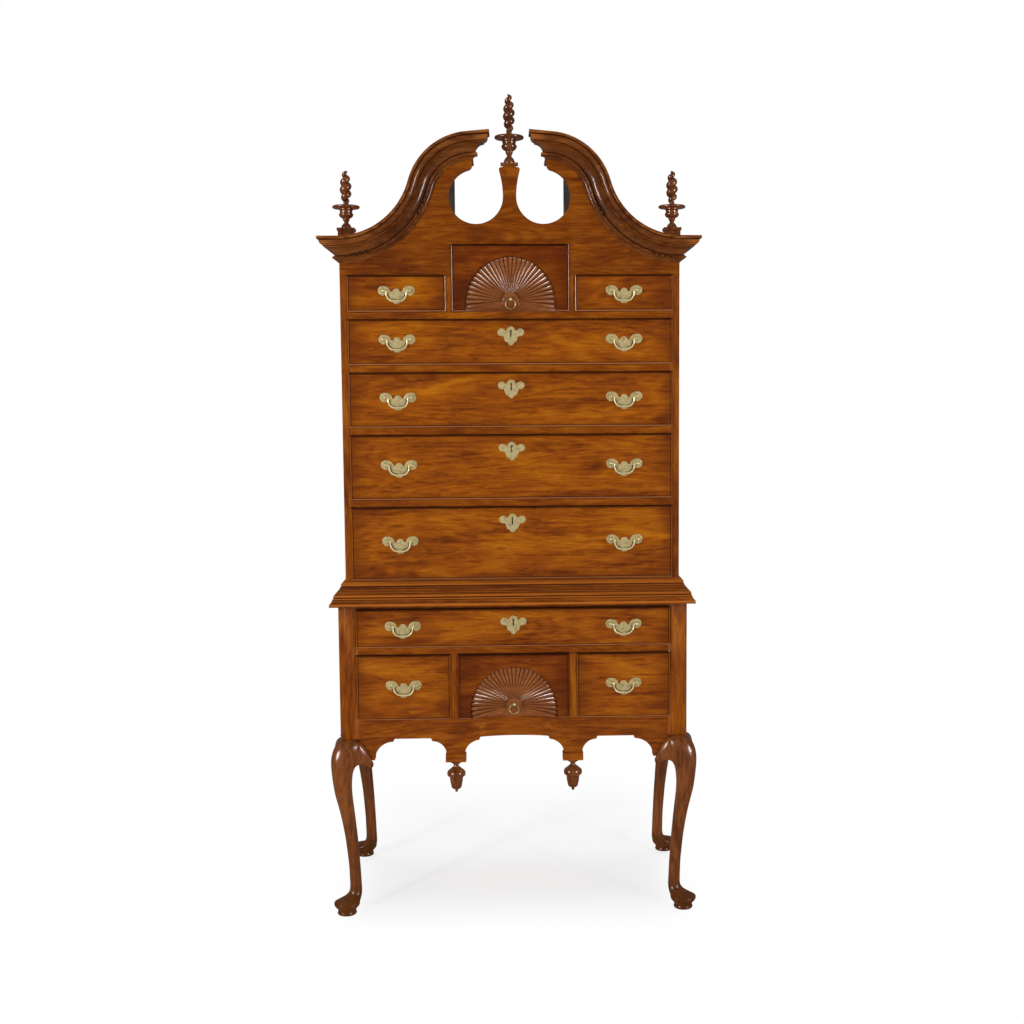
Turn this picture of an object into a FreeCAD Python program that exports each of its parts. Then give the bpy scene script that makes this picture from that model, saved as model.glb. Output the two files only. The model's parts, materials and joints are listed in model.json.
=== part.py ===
import FreeCAD, Part
import math
import os

V = FreeCAD.Vector

# A bonnet-top high chest of drawers: a chest with a broken-scroll top on a stand with
# cabriole legs. All sizes are in millimetres. X runs to the right, Y to the back and Z up.
# While the pieces are made, Y = 0 is the front of the stand and X = 0 its middle; they are
# moved to the middle of the whole piece's depth just before they are written.

# ---- Driving dimensions: stand --------------------------------------------------------
STAND_MARGIN = 19.0            # stand's side, outside the chest's side
STAND_DEPTH = 482.0
LEG_HEIGHT = 484.0             # floor to the flat lower edge of the apron
POST = 50.0                    # square corner post
KNEE_REACH = 29.0              # how far a knee stands out from its post
KNEE_HEIGHT = 426.0            # floor to the fullest part of the knee
ANKLE_HEIGHT = 92.0
ANKLE_WIDTH = 32.0
ANKLE_SET = 13.0               # ankle's outer side, inside the post's outer face
LEG_SPACING = 22.0             # between the leg's sections
FOOT_RADIUS = 35.0
FOOT_SET = 7.0                 # foot's middle, inside the post's outer face
FOOT_HEIGHT = 29.0             # floor to the foot's widest line
FOOT_PAD_RADIUS = 26.5         # thin disc under the foot
FOOT_PAD_HEIGHT = 12.0
BRACKET_REACH = 40.0           # knee bracket, inwards from the post
BRACKET_BACK = 20.0            # knee bracket, behind the front of the post
BRACKET_SQUARENESS = 2.6
APRON_HEIGHT = 51.5
APRON_THICK = 32.0
APRON_STEP = 8.0               # small step where an arch meets the flat edge
APRON_DROP = 46.0              # how far the tongues hang below the flat edge
SIDE_THICK = 20.0
STAND_BACK_THICK = 18.0
STAND_SMALL_OPENING = 173.5    # height of the three lower drawer openings
STAND_LONG_OPENING = 100.0
STAND_TOP_RAIL = 13.0
STAND_FAN_OPENING = 290.0      # width of the middle opening
STAND_DIVIDER = 28.5
TONGUE_X = 158.0               # middle of each hanging tongue of the apron
TONGUE_WIDTH = 49.0
DROP_PAD_OVER = 3.0            # drop pad, beyond the tongue on each side
DROP_PAD_HEIGHT = 20.0
ACORN_LENGTH = 86.5
ACORN_RADIUS = 24.5
ACORN_TENON_RADIUS = 7.0
ACORN_TENON_LENGTH = 14.0

# ---- Driving dimensions: chest --------------------------------------------------------
CHEST_WIDTH = 893.0
CHEST_DEPTH = 450.0
CHEST_SETBACK = 20.0           # chest front behind the stand front
CHEST_SIDE_THICK = 23.0
CHEST_BASE = 67.0              # below the first drawer opening
CHEST_BOTTOM_THICK = 20.0
BACK_THICK = 12.0
BACK_BOARDS = 5
LONG_OPENINGS = (191.0, 168.5, 141.5, 116.0)   # from the bottom up
TOP_SMALL_OPENING = 91.5
TOP_FAN_OPENING_HEIGHT = 171.0
TOP_FAN_OPENING = 301.0        # width
TOP_DIVIDER = 23.5
RAIL = 23.0                    # height of a drawer rail
RAIL_DEPTH = 60.0
DIVIDER_DEPTH = 24.0
RUNNER_WIDTH = 22.0
RUNNER_THICK = 18.0
GUIDE_HEIGHT = 16.0
TOP_BOARD_THICK = 12.0
TOP_BOARD_GAP = 2.0            # between the fan drawer's opening and the top board

# ---- Driving dimensions: mouldings, pediment and hood ---------------------------------
WAIST_HEIGHT = 66.5
WAIST_REACH = 40.5
CORNICE_HEIGHT = 64.5
CORNICE_REACH = 52.0
CORNICE_RISE = 37.0            # scroll board showing between the small drawers and cornice
BOARD_THICK = 20.0
HOOD_THICK = 8.0
HOOD_WALL_THICK = 8.0
NECK_TOP_X = 96.0              # centre of the upper curve
NECK_TOP_RISE = 157.0
NECK_TOP_RADIUS = 107.5
NECK_END_SLOPE = 5.0           # degrees
NECK_END_RUN = 8.0
HOLE_RADIUS = 71.0             # round openings in the scroll board
HOLE_X = 88.4
HOLE_RISE = 170.5              # above the start of the cornice
LOBE_ANGLE = 106.5             # degrees round the opening, where the neck's lobe meets it
LOBE_EDGE = 12.0               # straight edge of the lobe, under the moulding's end
LOBE_BOW = 3.6                 # how far the lobe's underside bows out
PLINTH_SHOULDER = 27.0         # half width of the middle plinth's shoulder
PLINTH_SHOULDER_RISE = 239.0
PLINTH_ROUND = 6.0             # rounding of the shoulder
PLINTH_NECK = 17.0             # half width above the shoulder
PLINTH_TOP_RISE = 251.0
PLINTH_CAP = 23.0
PLINTH_CAP_HEIGHT = 6.0
PLINTH_CAP_OVER = 3.0          # cap, before and behind the board
SIDE_PLINTH = 41.0
SIDE_PLINTH_INSET = 17.0       # its middle, inside the chest's side
SIDE_PLINTH_Y = 50.0
SIDE_PLINTH_HEIGHT = 27.0
SIDE_PLINTH_LEDGE = 7.0
SIDE_PLINTH_LEDGE_OVER = 2.5
SIDE_PLINTH_SEAT = 1.0         # below the cornice's top
FINIAL_HEIGHT = 150.0          # side finials
MIDDLE_FINIAL_HEIGHT = 178.0
FINIAL_DISC_RADIUS = 36.0
MIDDLE_FINIAL_DISC_RADIUS = 38.5
FINIAL_TWIST_RADIUS = 15.8     # over the strand
FINIAL_TWIST_PITCH = 21.5
TWIST_ORBIT = 0.28             # strand's middle from the axis, as a share of that radius
FINIAL_TWIST_START = 0.45      # share of the finial's height
FINIAL_STEM = 0.465            # share that is turned, not carved

# ---- Driving dimensions: drawers ------------------------------------------------------
LIP_OVER = 5.0                 # lip over the frame, at the sides and top
LIP_THICK = 7.0
LIP_ROUND = 4.6
LIP_STEP = 1.2
FRONT_CORE = 13.0              # part of the front that enters the opening
FAN_CORE = 31.0
DRAWER_SIDE = 11.0
DRAWER_BACK = 10.0
DRAWER_BOTTOM = 7.0
BOTTOM_RISE = 8.0
GROOVE = 4.0
DOVETAIL = 9.0
DOVETAIL_PITCH = 46.0
DOVETAIL_FLARE = 3.0
DRAWER_AIR = 18.0              # behind a closed drawer
SIDE_PLAY = 1.0
TOP_PLAY = 2.0
SIDE_DROP = 6.0                # drawer sides below the top of the opening
RUN_PLAY = 0.5
FAN_RADIUS = 120.0
STAND_FAN_RADIUS = 117.0
FAN_RISE = 23.5                # fan's centre above the drawer's lower edge
FAN_EDGE = 3.0                 # the hollow at the case's front is this much inside the fan
HOLLOW_DEPTH = 22.0            # of a fan's hollow behind the case's front
CARVING_ROOM = 3.0             # the drawer's hollow is cut this much deeper, for its rays

# ---- Driving dimensions: brasses ------------------------------------------------------
PULL_DROP = 1.0                # plate's middle, below the middle of the opening
PLATE_THICK = 1.6
PULL_SPAN = 72.0               # post to post
PULL_POST_RISE = 10.3          # posts above the plate's middle
POST_HEAD = 4.7
COLLAR_RADIUS = 4.4
COLLAR_THICK = 1.5
POST_SHANK = 2.2
SHANK_PLAY = 0.2
NUT_RADIUS = 6.0
NUT_THICK = 3.5
BAIL_WIRE = 1.7                # radius
BAIL_WIDTH = 52.0
BAIL_DROP = 26.5
BAIL_STANDOFF = 8.0            # bail's axis in front of the drawer's face
BAIL_BEND = 4.5                # radius of the bends under the posts
BAIL_CORNER = 14.0             # radius of the two lower corners
PIN_PLAY = 0.3
PIN_DEPTH = 3.0
RING_RADIUS = 12.6
RING_WIRE = 1.6
RING_EYE = 4.6
RING_DROP = 2.8                # ring's middle below the fan's centre
RING_STANDOFF = 8.0
RING_EYE_PLAY = 1.0
KEYHOLE_RADIUS = 2.6
KEYHOLE_SLOT = 16.0
KEYHOLE_RISE = 6.0             # round hole, above the key plate's middle
KEY_PLATE_DROP = 38.0          # its middle, below the drawer's upper edge
KEY_DEPTH = 3.0                # key's passage into the lock
NAIL_RADIUS = 1.4
LOCK_WIDTH = 46.0
LOCK_HEIGHT = 34.0
LOCK_THICK = 9.0
BOLT_WIDTH = 20.0
BOLT_THICK = 4.0
BOLT_HEIGHT = 22.0
BOLT_THROW = 7.0
BOLT_PLAY = 0.4
BOLT_SINK = 0.3                # bolt's top, below the lock's top

# ---- Sizes that follow ----------------------------------------------------------------
CHEST_HALF = CHEST_WIDTH / 2
STAND_HALF = CHEST_HALF + STAND_MARGIN
POST_FACE = STAND_HALF - POST
CHEST_FACE = CHEST_HALF - CHEST_SIDE_THICK
CHEST_BACK = CHEST_SETBACK + CHEST_DEPTH
BACK_FACE = CHEST_BACK - BACK_THICK
STAND_BACK_FACE = STAND_DEPTH - STAND_BACK_THICK
Z_SMALL = LEG_HEIGHT + APRON_HEIGHT
Z_STAND_RAIL = Z_SMALL + STAND_SMALL_OPENING
Z_STAND_LONG = Z_STAND_RAIL + RAIL
Z_TOP_RAIL = Z_STAND_LONG + STAND_LONG_OPENING
Z_STAND = Z_TOP_RAIL + STAND_TOP_RAIL
Z_CHEST_DRAWERS = Z_STAND + CHEST_BASE
TONGUE_Z = LEG_HEIGHT - APRON_DROP
DROP_Z = TONGUE_Z - DROP_PAD_HEIGHT
TOP_ROW_X = TOP_FAN_OPENING / 2 + TOP_DIVIDER
STAND_ROW_X = STAND_FAN_OPENING / 2 + STAND_DIVIDER
CHEST_PULL_X = (TOP_ROW_X + CHEST_FACE) / 2
STAND_PULL_X = (STAND_ROW_X + POST_FACE) / 2
SIDE_PLINTH_X = CHEST_HALF - SIDE_PLINTH_INSET
NECK_RUN = CHEST_HALF - NECK_TOP_X
# The lower curve starts level at the corner and meets the upper curve smoothly.
NECK_RISE = ((NECK_RUN ** 2 + NECK_TOP_RISE ** 2 - NECK_TOP_RADIUS ** 2)
             / (2 * (NECK_TOP_RISE + NECK_TOP_RADIUS)))


def stacked_openings():
    """Return (bottom, top) of each long opening of the chest, from the bottom up."""
    openings = []
    z = Z_CHEST_DRAWERS
    for height in LONG_OPENINGS:
        openings.append((z, z + height))
        z += height + RAIL
    return openings


LONG_ROWS = stacked_openings()
Z_TOP_ROW = LONG_ROWS[-1][1] + RAIL
Z_BOARD = Z_TOP_ROW + TOP_SMALL_OPENING
Z_FAN_TOP = Z_TOP_ROW + TOP_FAN_OPENING_HEIGHT
Z_CORNICE = Z_BOARD + CORNICE_RISE
Z_CORNICE_TOP = Z_CORNICE + CORNICE_HEIGHT
Z_TOP_BOARD = Z_FAN_TOP + TOP_BOARD_GAP
HOOD_INSIDE = CORNICE_HEIGHT - HOOD_THICK
Z_HOLE = Z_CORNICE + HOLE_RISE
Z_PLINTH = Z_CORNICE + PLINTH_TOP_RISE


# ---- Small tools ----------------------------------------------------------------------
def block(x0, x1, y0, y1, z0, z1):
    """Return a box between two opposite corners."""
    return Part.makeBox(x1 - x0, y1 - y0, z1 - z0, V(x0, y0, z0))


def rod(base, direction, length, radius):
    """Return a cylinder from base along direction."""
    return Part.makeCylinder(radius, length, base, direction)


def outline(start, steps, place):
    """Return a closed wire. A step is a point, or a pair: a point on the arc and its end."""
    edges = []
    here = place(*start)
    for step in list(steps) + [start]:
        if isinstance(step[0], tuple):
            end = place(*step[1])
            edges.append(Part.Arc(here, place(*step[0]), end).toShape())
        else:
            end = place(*step)
            if here.distanceToPoint(end) < 1e-6:
                continue
            edges.append(Part.LineSegment(here, end).toShape())
        here = end
    return Part.Wire(edges)


def plate(start, steps, y0, y1):
    """Return an outline drawn on XZ and made solid between two depths."""
    face = Part.Face(outline(start, steps, lambda x, z: V(x, y0, z)))
    return face.extrude(V(0, y1 - y0, 0))


def side_plate(start, steps, x0, x1):
    """Return an outline drawn on YZ and made solid between two widths."""
    face = Part.Face(outline(start, steps, lambda y, z: V(x0, y, z)))
    return face.extrude(V(x1 - x0, 0, 0))


def floor_plate(points, z0, z1):
    """Return a polygon drawn on XY and made solid between two heights."""
    face = Part.Face(outline(points[0], points[1:], lambda x, y: V(x, y, z0)))
    return face.extrude(V(0, 0, z1 - z0))


def turned(start, steps, x, y):
    """Return an outline of radius and height turned about the upright axis at x, y."""
    face = Part.Face(outline(start, steps, lambda r, z: V(x + r, y, z)))
    return face.revolve(V(x, y, 0), V(0, 0, 1), 360)


def mirrored(shape):
    """Return the shape's mate on the other side of the middle."""
    return shape.mirror(V(0, 0, 0), V(1, 0, 0))


def to_back(shape):
    """Return the shape's mate at the other end of the stand's depth."""
    return shape.mirror(V(0, STAND_DEPTH / 2, 0), V(0, 1, 0))


def both_sides(shapes):
    """Return the shapes and their mates."""
    return shapes + [mirrored(shape) for shape in shapes]


def ring_of_points(centre, half, squareness, count=24):
    """Return points round a rounded square: 2 is a circle or ellipse, more is squarer."""
    points = []
    for step in range(count):
        turn = 2 * math.pi * step / count
        across, along = math.cos(turn), math.sin(turn)
        u = math.copysign(abs(across) ** (2 / squareness), across)
        v = math.copysign(abs(along) ** (2 / squareness), along)
        points.append((centre[0] + half[0] * u, centre[1] + half[1] * v))
    return points


def loft(rings):
    """Return a smooth solid through closed rings of points."""
    wires = []
    for ring in rings:
        curve = Part.BSplineCurve()
        curve.interpolate(Points=ring, PeriodicFlag=True)
        wires.append(Part.Wire([curve.toShape()]))
    return Part.makeLoft(wires, True, False)


# ---- Legs -----------------------------------------------------------------------------
def leg_sections():
    """Return (height, outer side, inner side, squareness), measured from the post's corner."""
    knee = -KNEE_REACH
    rise = LEG_HEIGHT - KNEE_HEIGHT
    shin = KNEE_HEIGHT - ANKLE_HEIGHT
    ankle = ANKLE_SET
    toe = FOOT_SET - FOOT_RADIUS
    heel = FOOT_SET + FOOT_RADIUS
    ankle_in = ankle + ANKLE_WIDTH
    return [
        (FOOT_PAD_HEIGHT + 1.0, FOOT_SET - FOOT_PAD_RADIUS + 1.0, FOOT_SET + FOOT_PAD_RADIUS - 1.0, 2.0),
        (0.6 * FOOT_HEIGHT + 0.4 * FOOT_PAD_HEIGHT, toe + 3.0, heel - 3.0, 2.0),
        (FOOT_HEIGHT, toe, heel, 2.0),
        (0.9 * FOOT_HEIGHT + 0.1 * ANKLE_HEIGHT, 0.95 * toe, heel, 2.0),
        (0.7 * FOOT_HEIGHT + 0.3 * ANKLE_HEIGHT, 0.45 * toe, 0.5 * (heel + ankle_in), 2.0),
        (0.4 * FOOT_HEIGHT + 0.6 * ANKLE_HEIGHT, ankle - 2.0, ankle_in + 1.0, 2.0),
        (ANKLE_HEIGHT, ankle, ankle_in, 2.0),
        (KNEE_HEIGHT - 0.71 * shin, 0.13 * POST, 0.79 * POST, 2.2),
        (KNEE_HEIGHT - 0.47 * shin, 0.17 * knee, 0.66 * POST, 2.4),
        (KNEE_HEIGHT - 0.23 * shin, 0.73 * knee, 0.54 * POST, 2.6),
        (KNEE_HEIGHT - 0.08 * shin, 0.96 * knee, 0.66 * POST, 2.8),
        (KNEE_HEIGHT, knee, POST - 3.0, 3.0),
        (KNEE_HEIGHT + 0.42 * rise, 0.84 * knee, POST - 1.0, 3.4),
        (KNEE_HEIGHT + 0.78 * rise, 0.42 * knee, POST - 1.0, 4.2),
        (LEG_HEIGHT, 1.0, POST - 1.0, 6.0),
    ]


def knot_slopes(rows, column):
    """Return a column's slope at each row, nought where the column turns."""
    steps = [(b[column] - a[column]) / (b[0] - a[0]) for a, b in zip(rows, rows[1:])]
    inner = [2 * p * q / (p + q) if p * q > 0 else 0.0 for p, q in zip(steps, steps[1:])]
    return [steps[0]] + inner + [steps[-1]]


def eased(rows, spacing):
    """Return more rows, no more than about a spacing apart, on smooth curves through these."""
    slopes = [knot_slopes(rows, column) for column in range(len(rows[0]))]
    smooth = [rows[0]]
    for index, (low, high) in enumerate(zip(rows, rows[1:])):
        span = high[0] - low[0]
        pieces = max(1, round(span / spacing))
        for piece in range(1, pieces + 1):
            t = piece / pieces
            row = []
            for column, (a, b) in enumerate(zip(low, high)):
                start, end = slopes[column][index] * span, slopes[column][index + 1] * span
                row.append(a + start * t + (3 * (b - a) - 2 * start - end) * t ** 2
                           + (2 * (a - b) + start + end) * t ** 3)
            smooth.append(tuple(row))
    return smooth


def corner_leg():
    """Return the front left leg: a square post above, a cabriole leg and pad foot below."""
    rings = []
    for height, outer, inner, squareness in eased(leg_sections(), LEG_SPACING):
        middle = (outer + inner) / 2
        half = (inner - outer) / 2
        ring = ring_of_points((middle - STAND_HALF, middle), (half, half), squareness)
        rings.append([V(x, y, height) for x, y in ring])
    reach = 2 * KNEE_REACH
    room = block(-STAND_HALF - reach, -POST_FACE, -reach, POST, 0, Z_STAND)
    shaft = loft(rings).common(room)
    post = block(-STAND_HALF, -POST_FACE, 0, POST, KNEE_HEIGHT + 8.0, Z_STAND)
    rim, top = FOOT_PAD_RADIUS, FOOT_PAD_HEIGHT
    pad = turned((0, 0), [(rim - 3.0, 0), ((rim, 0.3 * top), (rim - 1.0, 0.6 * top)),
                          (rim - 4.0, top), (rim - 4.0, top + 3.0), (0, top + 3.0)],
                 FOOT_SET - STAND_HALF, FOOT_SET)
    return shaft.fuse([post, pad]).removeSplitter()


def knee_bracket():
    """Return the bracket between the front left knee and the apron, before it is fitted."""
    reach = BRACKET_REACH
    top, low = LEG_HEIGHT + 1.0, KNEE_HEIGHT - 14.0
    shapes = [
        # inwards from the post, top, bottom, front, back
        (-8.0, top, low + 2.0, -0.9 * KNEE_REACH, BRACKET_BACK),
        (0.12 * reach, top - 5.0, low + 3.0, -0.76 * KNEE_REACH, BRACKET_BACK),
        (0.42 * reach, top - 17.0, low - 3.0, -0.58 * KNEE_REACH, BRACKET_BACK - 1.0),
        (0.68 * reach, top - 32.0, low - 10.0, -0.4 * KNEE_REACH, BRACKET_BACK - 2.0),
        (0.88 * reach, top - 49.0, low - 13.0, -0.24 * KNEE_REACH, BRACKET_BACK - 4.0),
        (reach, top - 64.0, low - 8.0, -0.08 * KNEE_REACH, BRACKET_BACK - 8.0),
    ]
    rings = []
    for inward, high, deep, front, back in shapes:
        centre = ((front + back) / 2, (high + deep) / 2)
        half = ((back - front) / 2, (high - deep) / 2)
        ring = ring_of_points(centre, half, BRACKET_SQUARENESS)
        rings.append([V(inward - POST_FACE, y, z) for y, z in ring])
    return loft(rings)


def swap_corner(shape):
    """Return a piece of the front left corner turned over its diagonal, front to side."""
    corner = V(-STAND_HALF, 0, 0)
    return shape.mirror(corner, V(1, -1, 0))


def arch_steps(x0, x1, top, foot0, foot1):
    """Return the steps of a lower edge from x0 to x1: curve, step, flat, step, curve."""
    rise0, rise1 = top - APRON_STEP - foot0, top - APRON_STEP - foot1
    diagonal = 1 - math.sqrt(0.5)
    return [
        ((x0 + rise0 * diagonal, foot0 + rise0 * (1 - diagonal)), (x0 + rise0, top - APRON_STEP)),
        (x0 + rise0 + APRON_STEP / 2, top),
        (x1 - rise1 - APRON_STEP / 2, top),
        (x1 - rise1, top - APRON_STEP),
        ((x1 - rise1 * diagonal, foot1 + rise1 * (1 - diagonal)), (x1, foot1)),
    ]


def stand_apron():
    """Return the shaped front apron, hollowed under the fan, and the two drop pads."""
    bracket_x = POST_FACE - BRACKET_REACH
    bracket_z = KNEE_HEIGHT
    tongue = TONGUE_WIDTH / 2
    steps = [(-POST_FACE, bracket_z), (-bracket_x, bracket_z)]
    steps += arch_steps(-bracket_x, -TONGUE_X - tongue, LEG_HEIGHT, bracket_z, TONGUE_Z)
    steps += [(-TONGUE_X + tongue, TONGUE_Z)]
    steps += arch_steps(-TONGUE_X + tongue, TONGUE_X - tongue, LEG_HEIGHT, TONGUE_Z, TONGUE_Z)
    steps += [(TONGUE_X + tongue, TONGUE_Z)]
    steps += arch_steps(TONGUE_X + tongue, bracket_x, LEG_HEIGHT, TONGUE_Z, bracket_z)
    steps += [(POST_FACE, bracket_z), (POST_FACE, Z_SMALL)]
    apron = plate((-POST_FACE, Z_SMALL), steps, 0, APRON_THICK)
    radius = dish_radius(STAND_FAN_RADIUS)
    hollow = rod(V(0, HOLLOW_DEPTH - radius, TONGUE_Z), V(0, 0, 1), Z_SMALL - TONGUE_Z, radius)
    pads = []
    for side in (-1, 1):
        half = tongue + DROP_PAD_OVER
        x = side * TONGUE_X
        pad = block(x - half, x + half, -DROP_PAD_OVER, APRON_THICK, DROP_Z, TONGUE_Z)
        pads.append(pad.cut(rod(V(x, APRON_THICK / 2, DROP_Z), V(0, 0, 1),
                                ACORN_TENON_LENGTH, ACORN_TENON_RADIUS)))
    return [apron.cut(hollow)] + pads


def dish_radius(fan_radius):
    """Return the radius of a hollow that is as deep and wide as it should be."""
    half = fan_radius - FAN_EDGE
    return (half ** 2 + HOLLOW_DEPTH ** 2) / (2 * HOLLOW_DEPTH)


def stand_sides():
    """Return the two side boards of the stand, with a shaped lower edge."""
    foot = KNEE_HEIGHT
    y0, y1 = POST, STAND_DEPTH - POST
    steps = [(y0, foot), (y0 + BRACKET_REACH, foot)]
    steps += arch_steps(y0 + BRACKET_REACH, y1 - BRACKET_REACH, LEG_HEIGHT, foot, foot)
    steps += [(y1, foot), (y1, Z_STAND)]
    return both_sides([side_plate((y0, Z_STAND), steps, -STAND_HALF, SIDE_THICK - STAND_HALF)])


def legs_with_brackets():
    """Return the front pair and back pair of legs, each leg with its fitted brackets."""
    leg = corner_leg()
    apron = stand_apron()[0]
    side = stand_sides()[0]
    front_bracket = knee_bracket().cut(leg).cut(apron)
    side_bracket = swap_corner(knee_bracket()).cut(leg).cut(side)
    front_left = [leg, largest(front_bracket), largest(side_bracket)]
    back_left = [to_back(leg), to_back(largest(side_bracket))]
    return both_sides(front_left), both_sides(back_left)


def largest(shape):
    """Return the biggest solid of a shape, without the crumbs that a cut leaves."""
    return max(shape.Solids, key=lambda solid: solid.Volume)


# ---- Stand frame ----------------------------------------------------------------------
def bolt_mortise(front, top):
    """Return the pocket over a long drawer's lock, in the rail above it."""
    half = BOLT_WIDTH / 2 + 2 * BOLT_PLAY
    y = front + FRONT_CORE - LOCK_THICK / 2
    thick = BOLT_THICK / 2 + 2 * BOLT_PLAY
    return block(-half, half, y - thick, y + thick, top, top + BOLT_THROW + BOLT_PLAY)


def stand_rails():
    """Return the top rail, the drawer rail and the two dividers between lower drawers."""
    top = block(-POST_FACE, POST_FACE, 0, RAIL_DEPTH, Z_TOP_RAIL, Z_STAND)
    rail = block(-POST_FACE, POST_FACE, 0, RAIL_DEPTH, Z_STAND_RAIL, Z_STAND_LONG)
    divider = block(-STAND_ROW_X, -STAND_FAN_OPENING / 2, 0, APRON_THICK, Z_SMALL, Z_STAND_RAIL)
    return [top.cut(bolt_mortise(0, Z_TOP_RAIL)), rail] + both_sides([divider])


def stand_back():
    """Return the stand's back board, between the back posts."""
    return [block(-POST_FACE, POST_FACE, STAND_BACK_FACE, STAND_DEPTH, LEG_HEIGHT, Z_STAND)]


def chest_rails():
    """Return the chest's drawer rails and the two short dividers of the top row."""
    front, back = CHEST_SETBACK, CHEST_SETBACK + RAIL_DEPTH
    rails = []
    for _, top in LONG_ROWS:
        rail = block(-CHEST_FACE, CHEST_FACE, front, back, top, top + RAIL)
        rails.append(rail.cut(bolt_mortise(front, top)))
    divider = block(-TOP_ROW_X, -TOP_FAN_OPENING / 2, front, front + DIVIDER_DEPTH,
                    Z_TOP_ROW, Z_BOARD)
    return rails + both_sides([divider])


def runner_pair(face, front, back, z):
    """Return the two runners of an opening, along the inner faces of the case."""
    return both_sides([block(-face, RUNNER_WIDTH - face, front, back, z - RUNNER_THICK, z)])


def middle_runners(inner, outer, front, back, z):
    """Return the runners behind two dividers, each with its guide strip on top."""
    runner = block(-outer - RUNNER_WIDTH, RUNNER_WIDTH - inner, front, back, z - RUNNER_THICK, z)
    guide = block(-outer, -inner, front, back, z, z + GUIDE_HEIGHT)
    return both_sides([runner, guide])


def drawer_runners():
    """Return every runner, guide and kicker in both cases."""
    chest_front = CHEST_SETBACK + RAIL_DEPTH
    pieces = []
    for bottom, _ in LONG_ROWS[1:]:
        pieces += runner_pair(CHEST_FACE, chest_front, BACK_FACE, bottom)
    pieces += runner_pair(CHEST_FACE, chest_front, BACK_FACE, Z_TOP_ROW)
    pieces += runner_pair(CHEST_FACE, CHEST_SETBACK + BOARD_THICK, BACK_FACE,
                          Z_BOARD + RUNNER_THICK)
    pieces += middle_runners(TOP_FAN_OPENING / 2, TOP_ROW_X, chest_front, BACK_FACE, Z_TOP_ROW)
    pieces += runner_pair(POST_FACE, RAIL_DEPTH, STAND_BACK_FACE, Z_STAND_LONG)
    pieces += runner_pair(POST_FACE, APRON_THICK, STAND_BACK_FACE, Z_SMALL)
    pieces += middle_runners(STAND_FAN_OPENING / 2, STAND_ROW_X, APRON_THICK, STAND_BACK_FACE,
                             Z_SMALL)
    for z in (Z_SMALL, Z_STAND_LONG):
        pieces += both_sides([block(SIDE_THICK - STAND_HALF, -POST_FACE, POST,
                                    STAND_DEPTH - POST, z, z + GUIDE_HEIGHT)])
    return pieces


def acorn_drops():
    """Return the two turned acorns that hang under the apron."""
    acorns = []
    for side in (-1, 1):
        x, y = side * TONGUE_X, APRON_THICK / 2
        drop = ACORN_LENGTH
        tip = DROP_Z - drop
        cap = ACORN_RADIUS
        body = 0.7 * cap
        tenon = ACORN_TENON_RADIUS - SHANK_PLAY
        end = DROP_Z + ACORN_TENON_LENGTH
        acorns.append(turned(
            (0, tip),
            [((0.14 * cap, tip + 0.018 * drop), (0.155 * cap, tip + 0.058 * drop)),
             (0.19 * cap, tip + 0.1 * drop),
             ((0.86 * body, tip + 0.22 * drop), (body, tip + 0.5 * drop)),
             (1.035 * body, tip + 0.53 * drop),
             ((0.93 * cap, tip + 0.54 * drop), (cap, tip + 0.6 * drop)),
             ((0.66 * cap, tip + 0.74 * drop), (0.278 * cap, tip + 0.87 * drop)),
             ((0.35 * cap, tip + 0.92 * drop), (0.653 * cap, DROP_Z)),
             (tenon, DROP_Z), (tenon, end), (0, end)], x, y))
    return acorns


# ---- Mouldings ------------------------------------------------------------------------
def waist_profile():
    """Return the waist moulding's outline: (out from the chest, up from the stand)."""
    r, h = WAIST_REACH, WAIST_HEIGHT
    return (0, 0), [
        (r, 0), (r, 0.11 * h), (0.93 * r, 0.14 * h),
        ((0.87 * r, 0.2 * h), (0.78 * r, 0.33 * h)), (0.74 * r, 0.33 * h), (0.74 * r, 0.38 * h),
        ((0.7 * r, 0.47 * h), (0.56 * r, 0.5 * h)), (0.56 * r, 0.55 * h), (0.5 * r, 0.55 * h),
        ((0.4 * r, 0.62 * h), (0.34 * r, 0.75 * h)), (0.28 * r, 0.75 * h), (0.28 * r, 0.8 * h),
        ((0.24 * r, 0.91 * h), (0.08 * r, 0.96 * h)), (0.08 * r, h), (0, h)]


def cornice_profile():
    """Return the cornice's outline: (out from the chest, up from its lower edge)."""
    r, h = CORNICE_REACH, CORNICE_HEIGHT
    return (0, 0), [
        (0.05 * r, 0), ((0.1 * r, 0.1 * h), (0.2 * r, 0.14 * h)), (0.25 * r, 0.14 * h),
        ((0.31 * r, 0.19 * h), (0.25 * r, 0.24 * h)), (0.21 * r, 0.25 * h),
        ((0.34 * r, 0.48 * h), (0.63 * r, 0.59 * h)), (0.69 * r, 0.59 * h), (0.69 * r, 0.64 * h),
        ((0.83 * r, 0.7 * h), (0.9 * r, 0.83 * h)), (0.9 * r, 0.87 * h), (r, 0.89 * h),
        (r, 0.97 * h), (0.97 * r, h), (0, h)]


def profile_face(profile, origin, outward, upward):
    """Return a moulding's section, placed by its corner and its two directions."""
    return Part.Face(outline(*profile, lambda p, h: origin + outward * p + upward * h))


def corner_wedges(reach, z0, z1):
    """Return the plan areas of the front and left mouldings, split at the mitres."""
    front, back = CHEST_SETBACK, CHEST_BACK
    far = 2 * reach
    ahead = floor_plate([(-CHEST_HALF, front), (CHEST_HALF, front),
                         (CHEST_HALF + far, front - far), (-CHEST_HALF - far, front - far)], z0, z1)
    left = floor_plate([(-CHEST_HALF, front), (-CHEST_HALF - far, front - far),
                        (-CHEST_HALF - far, back), (-CHEST_HALF, back)], z0, z1)
    return ahead, left


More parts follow.
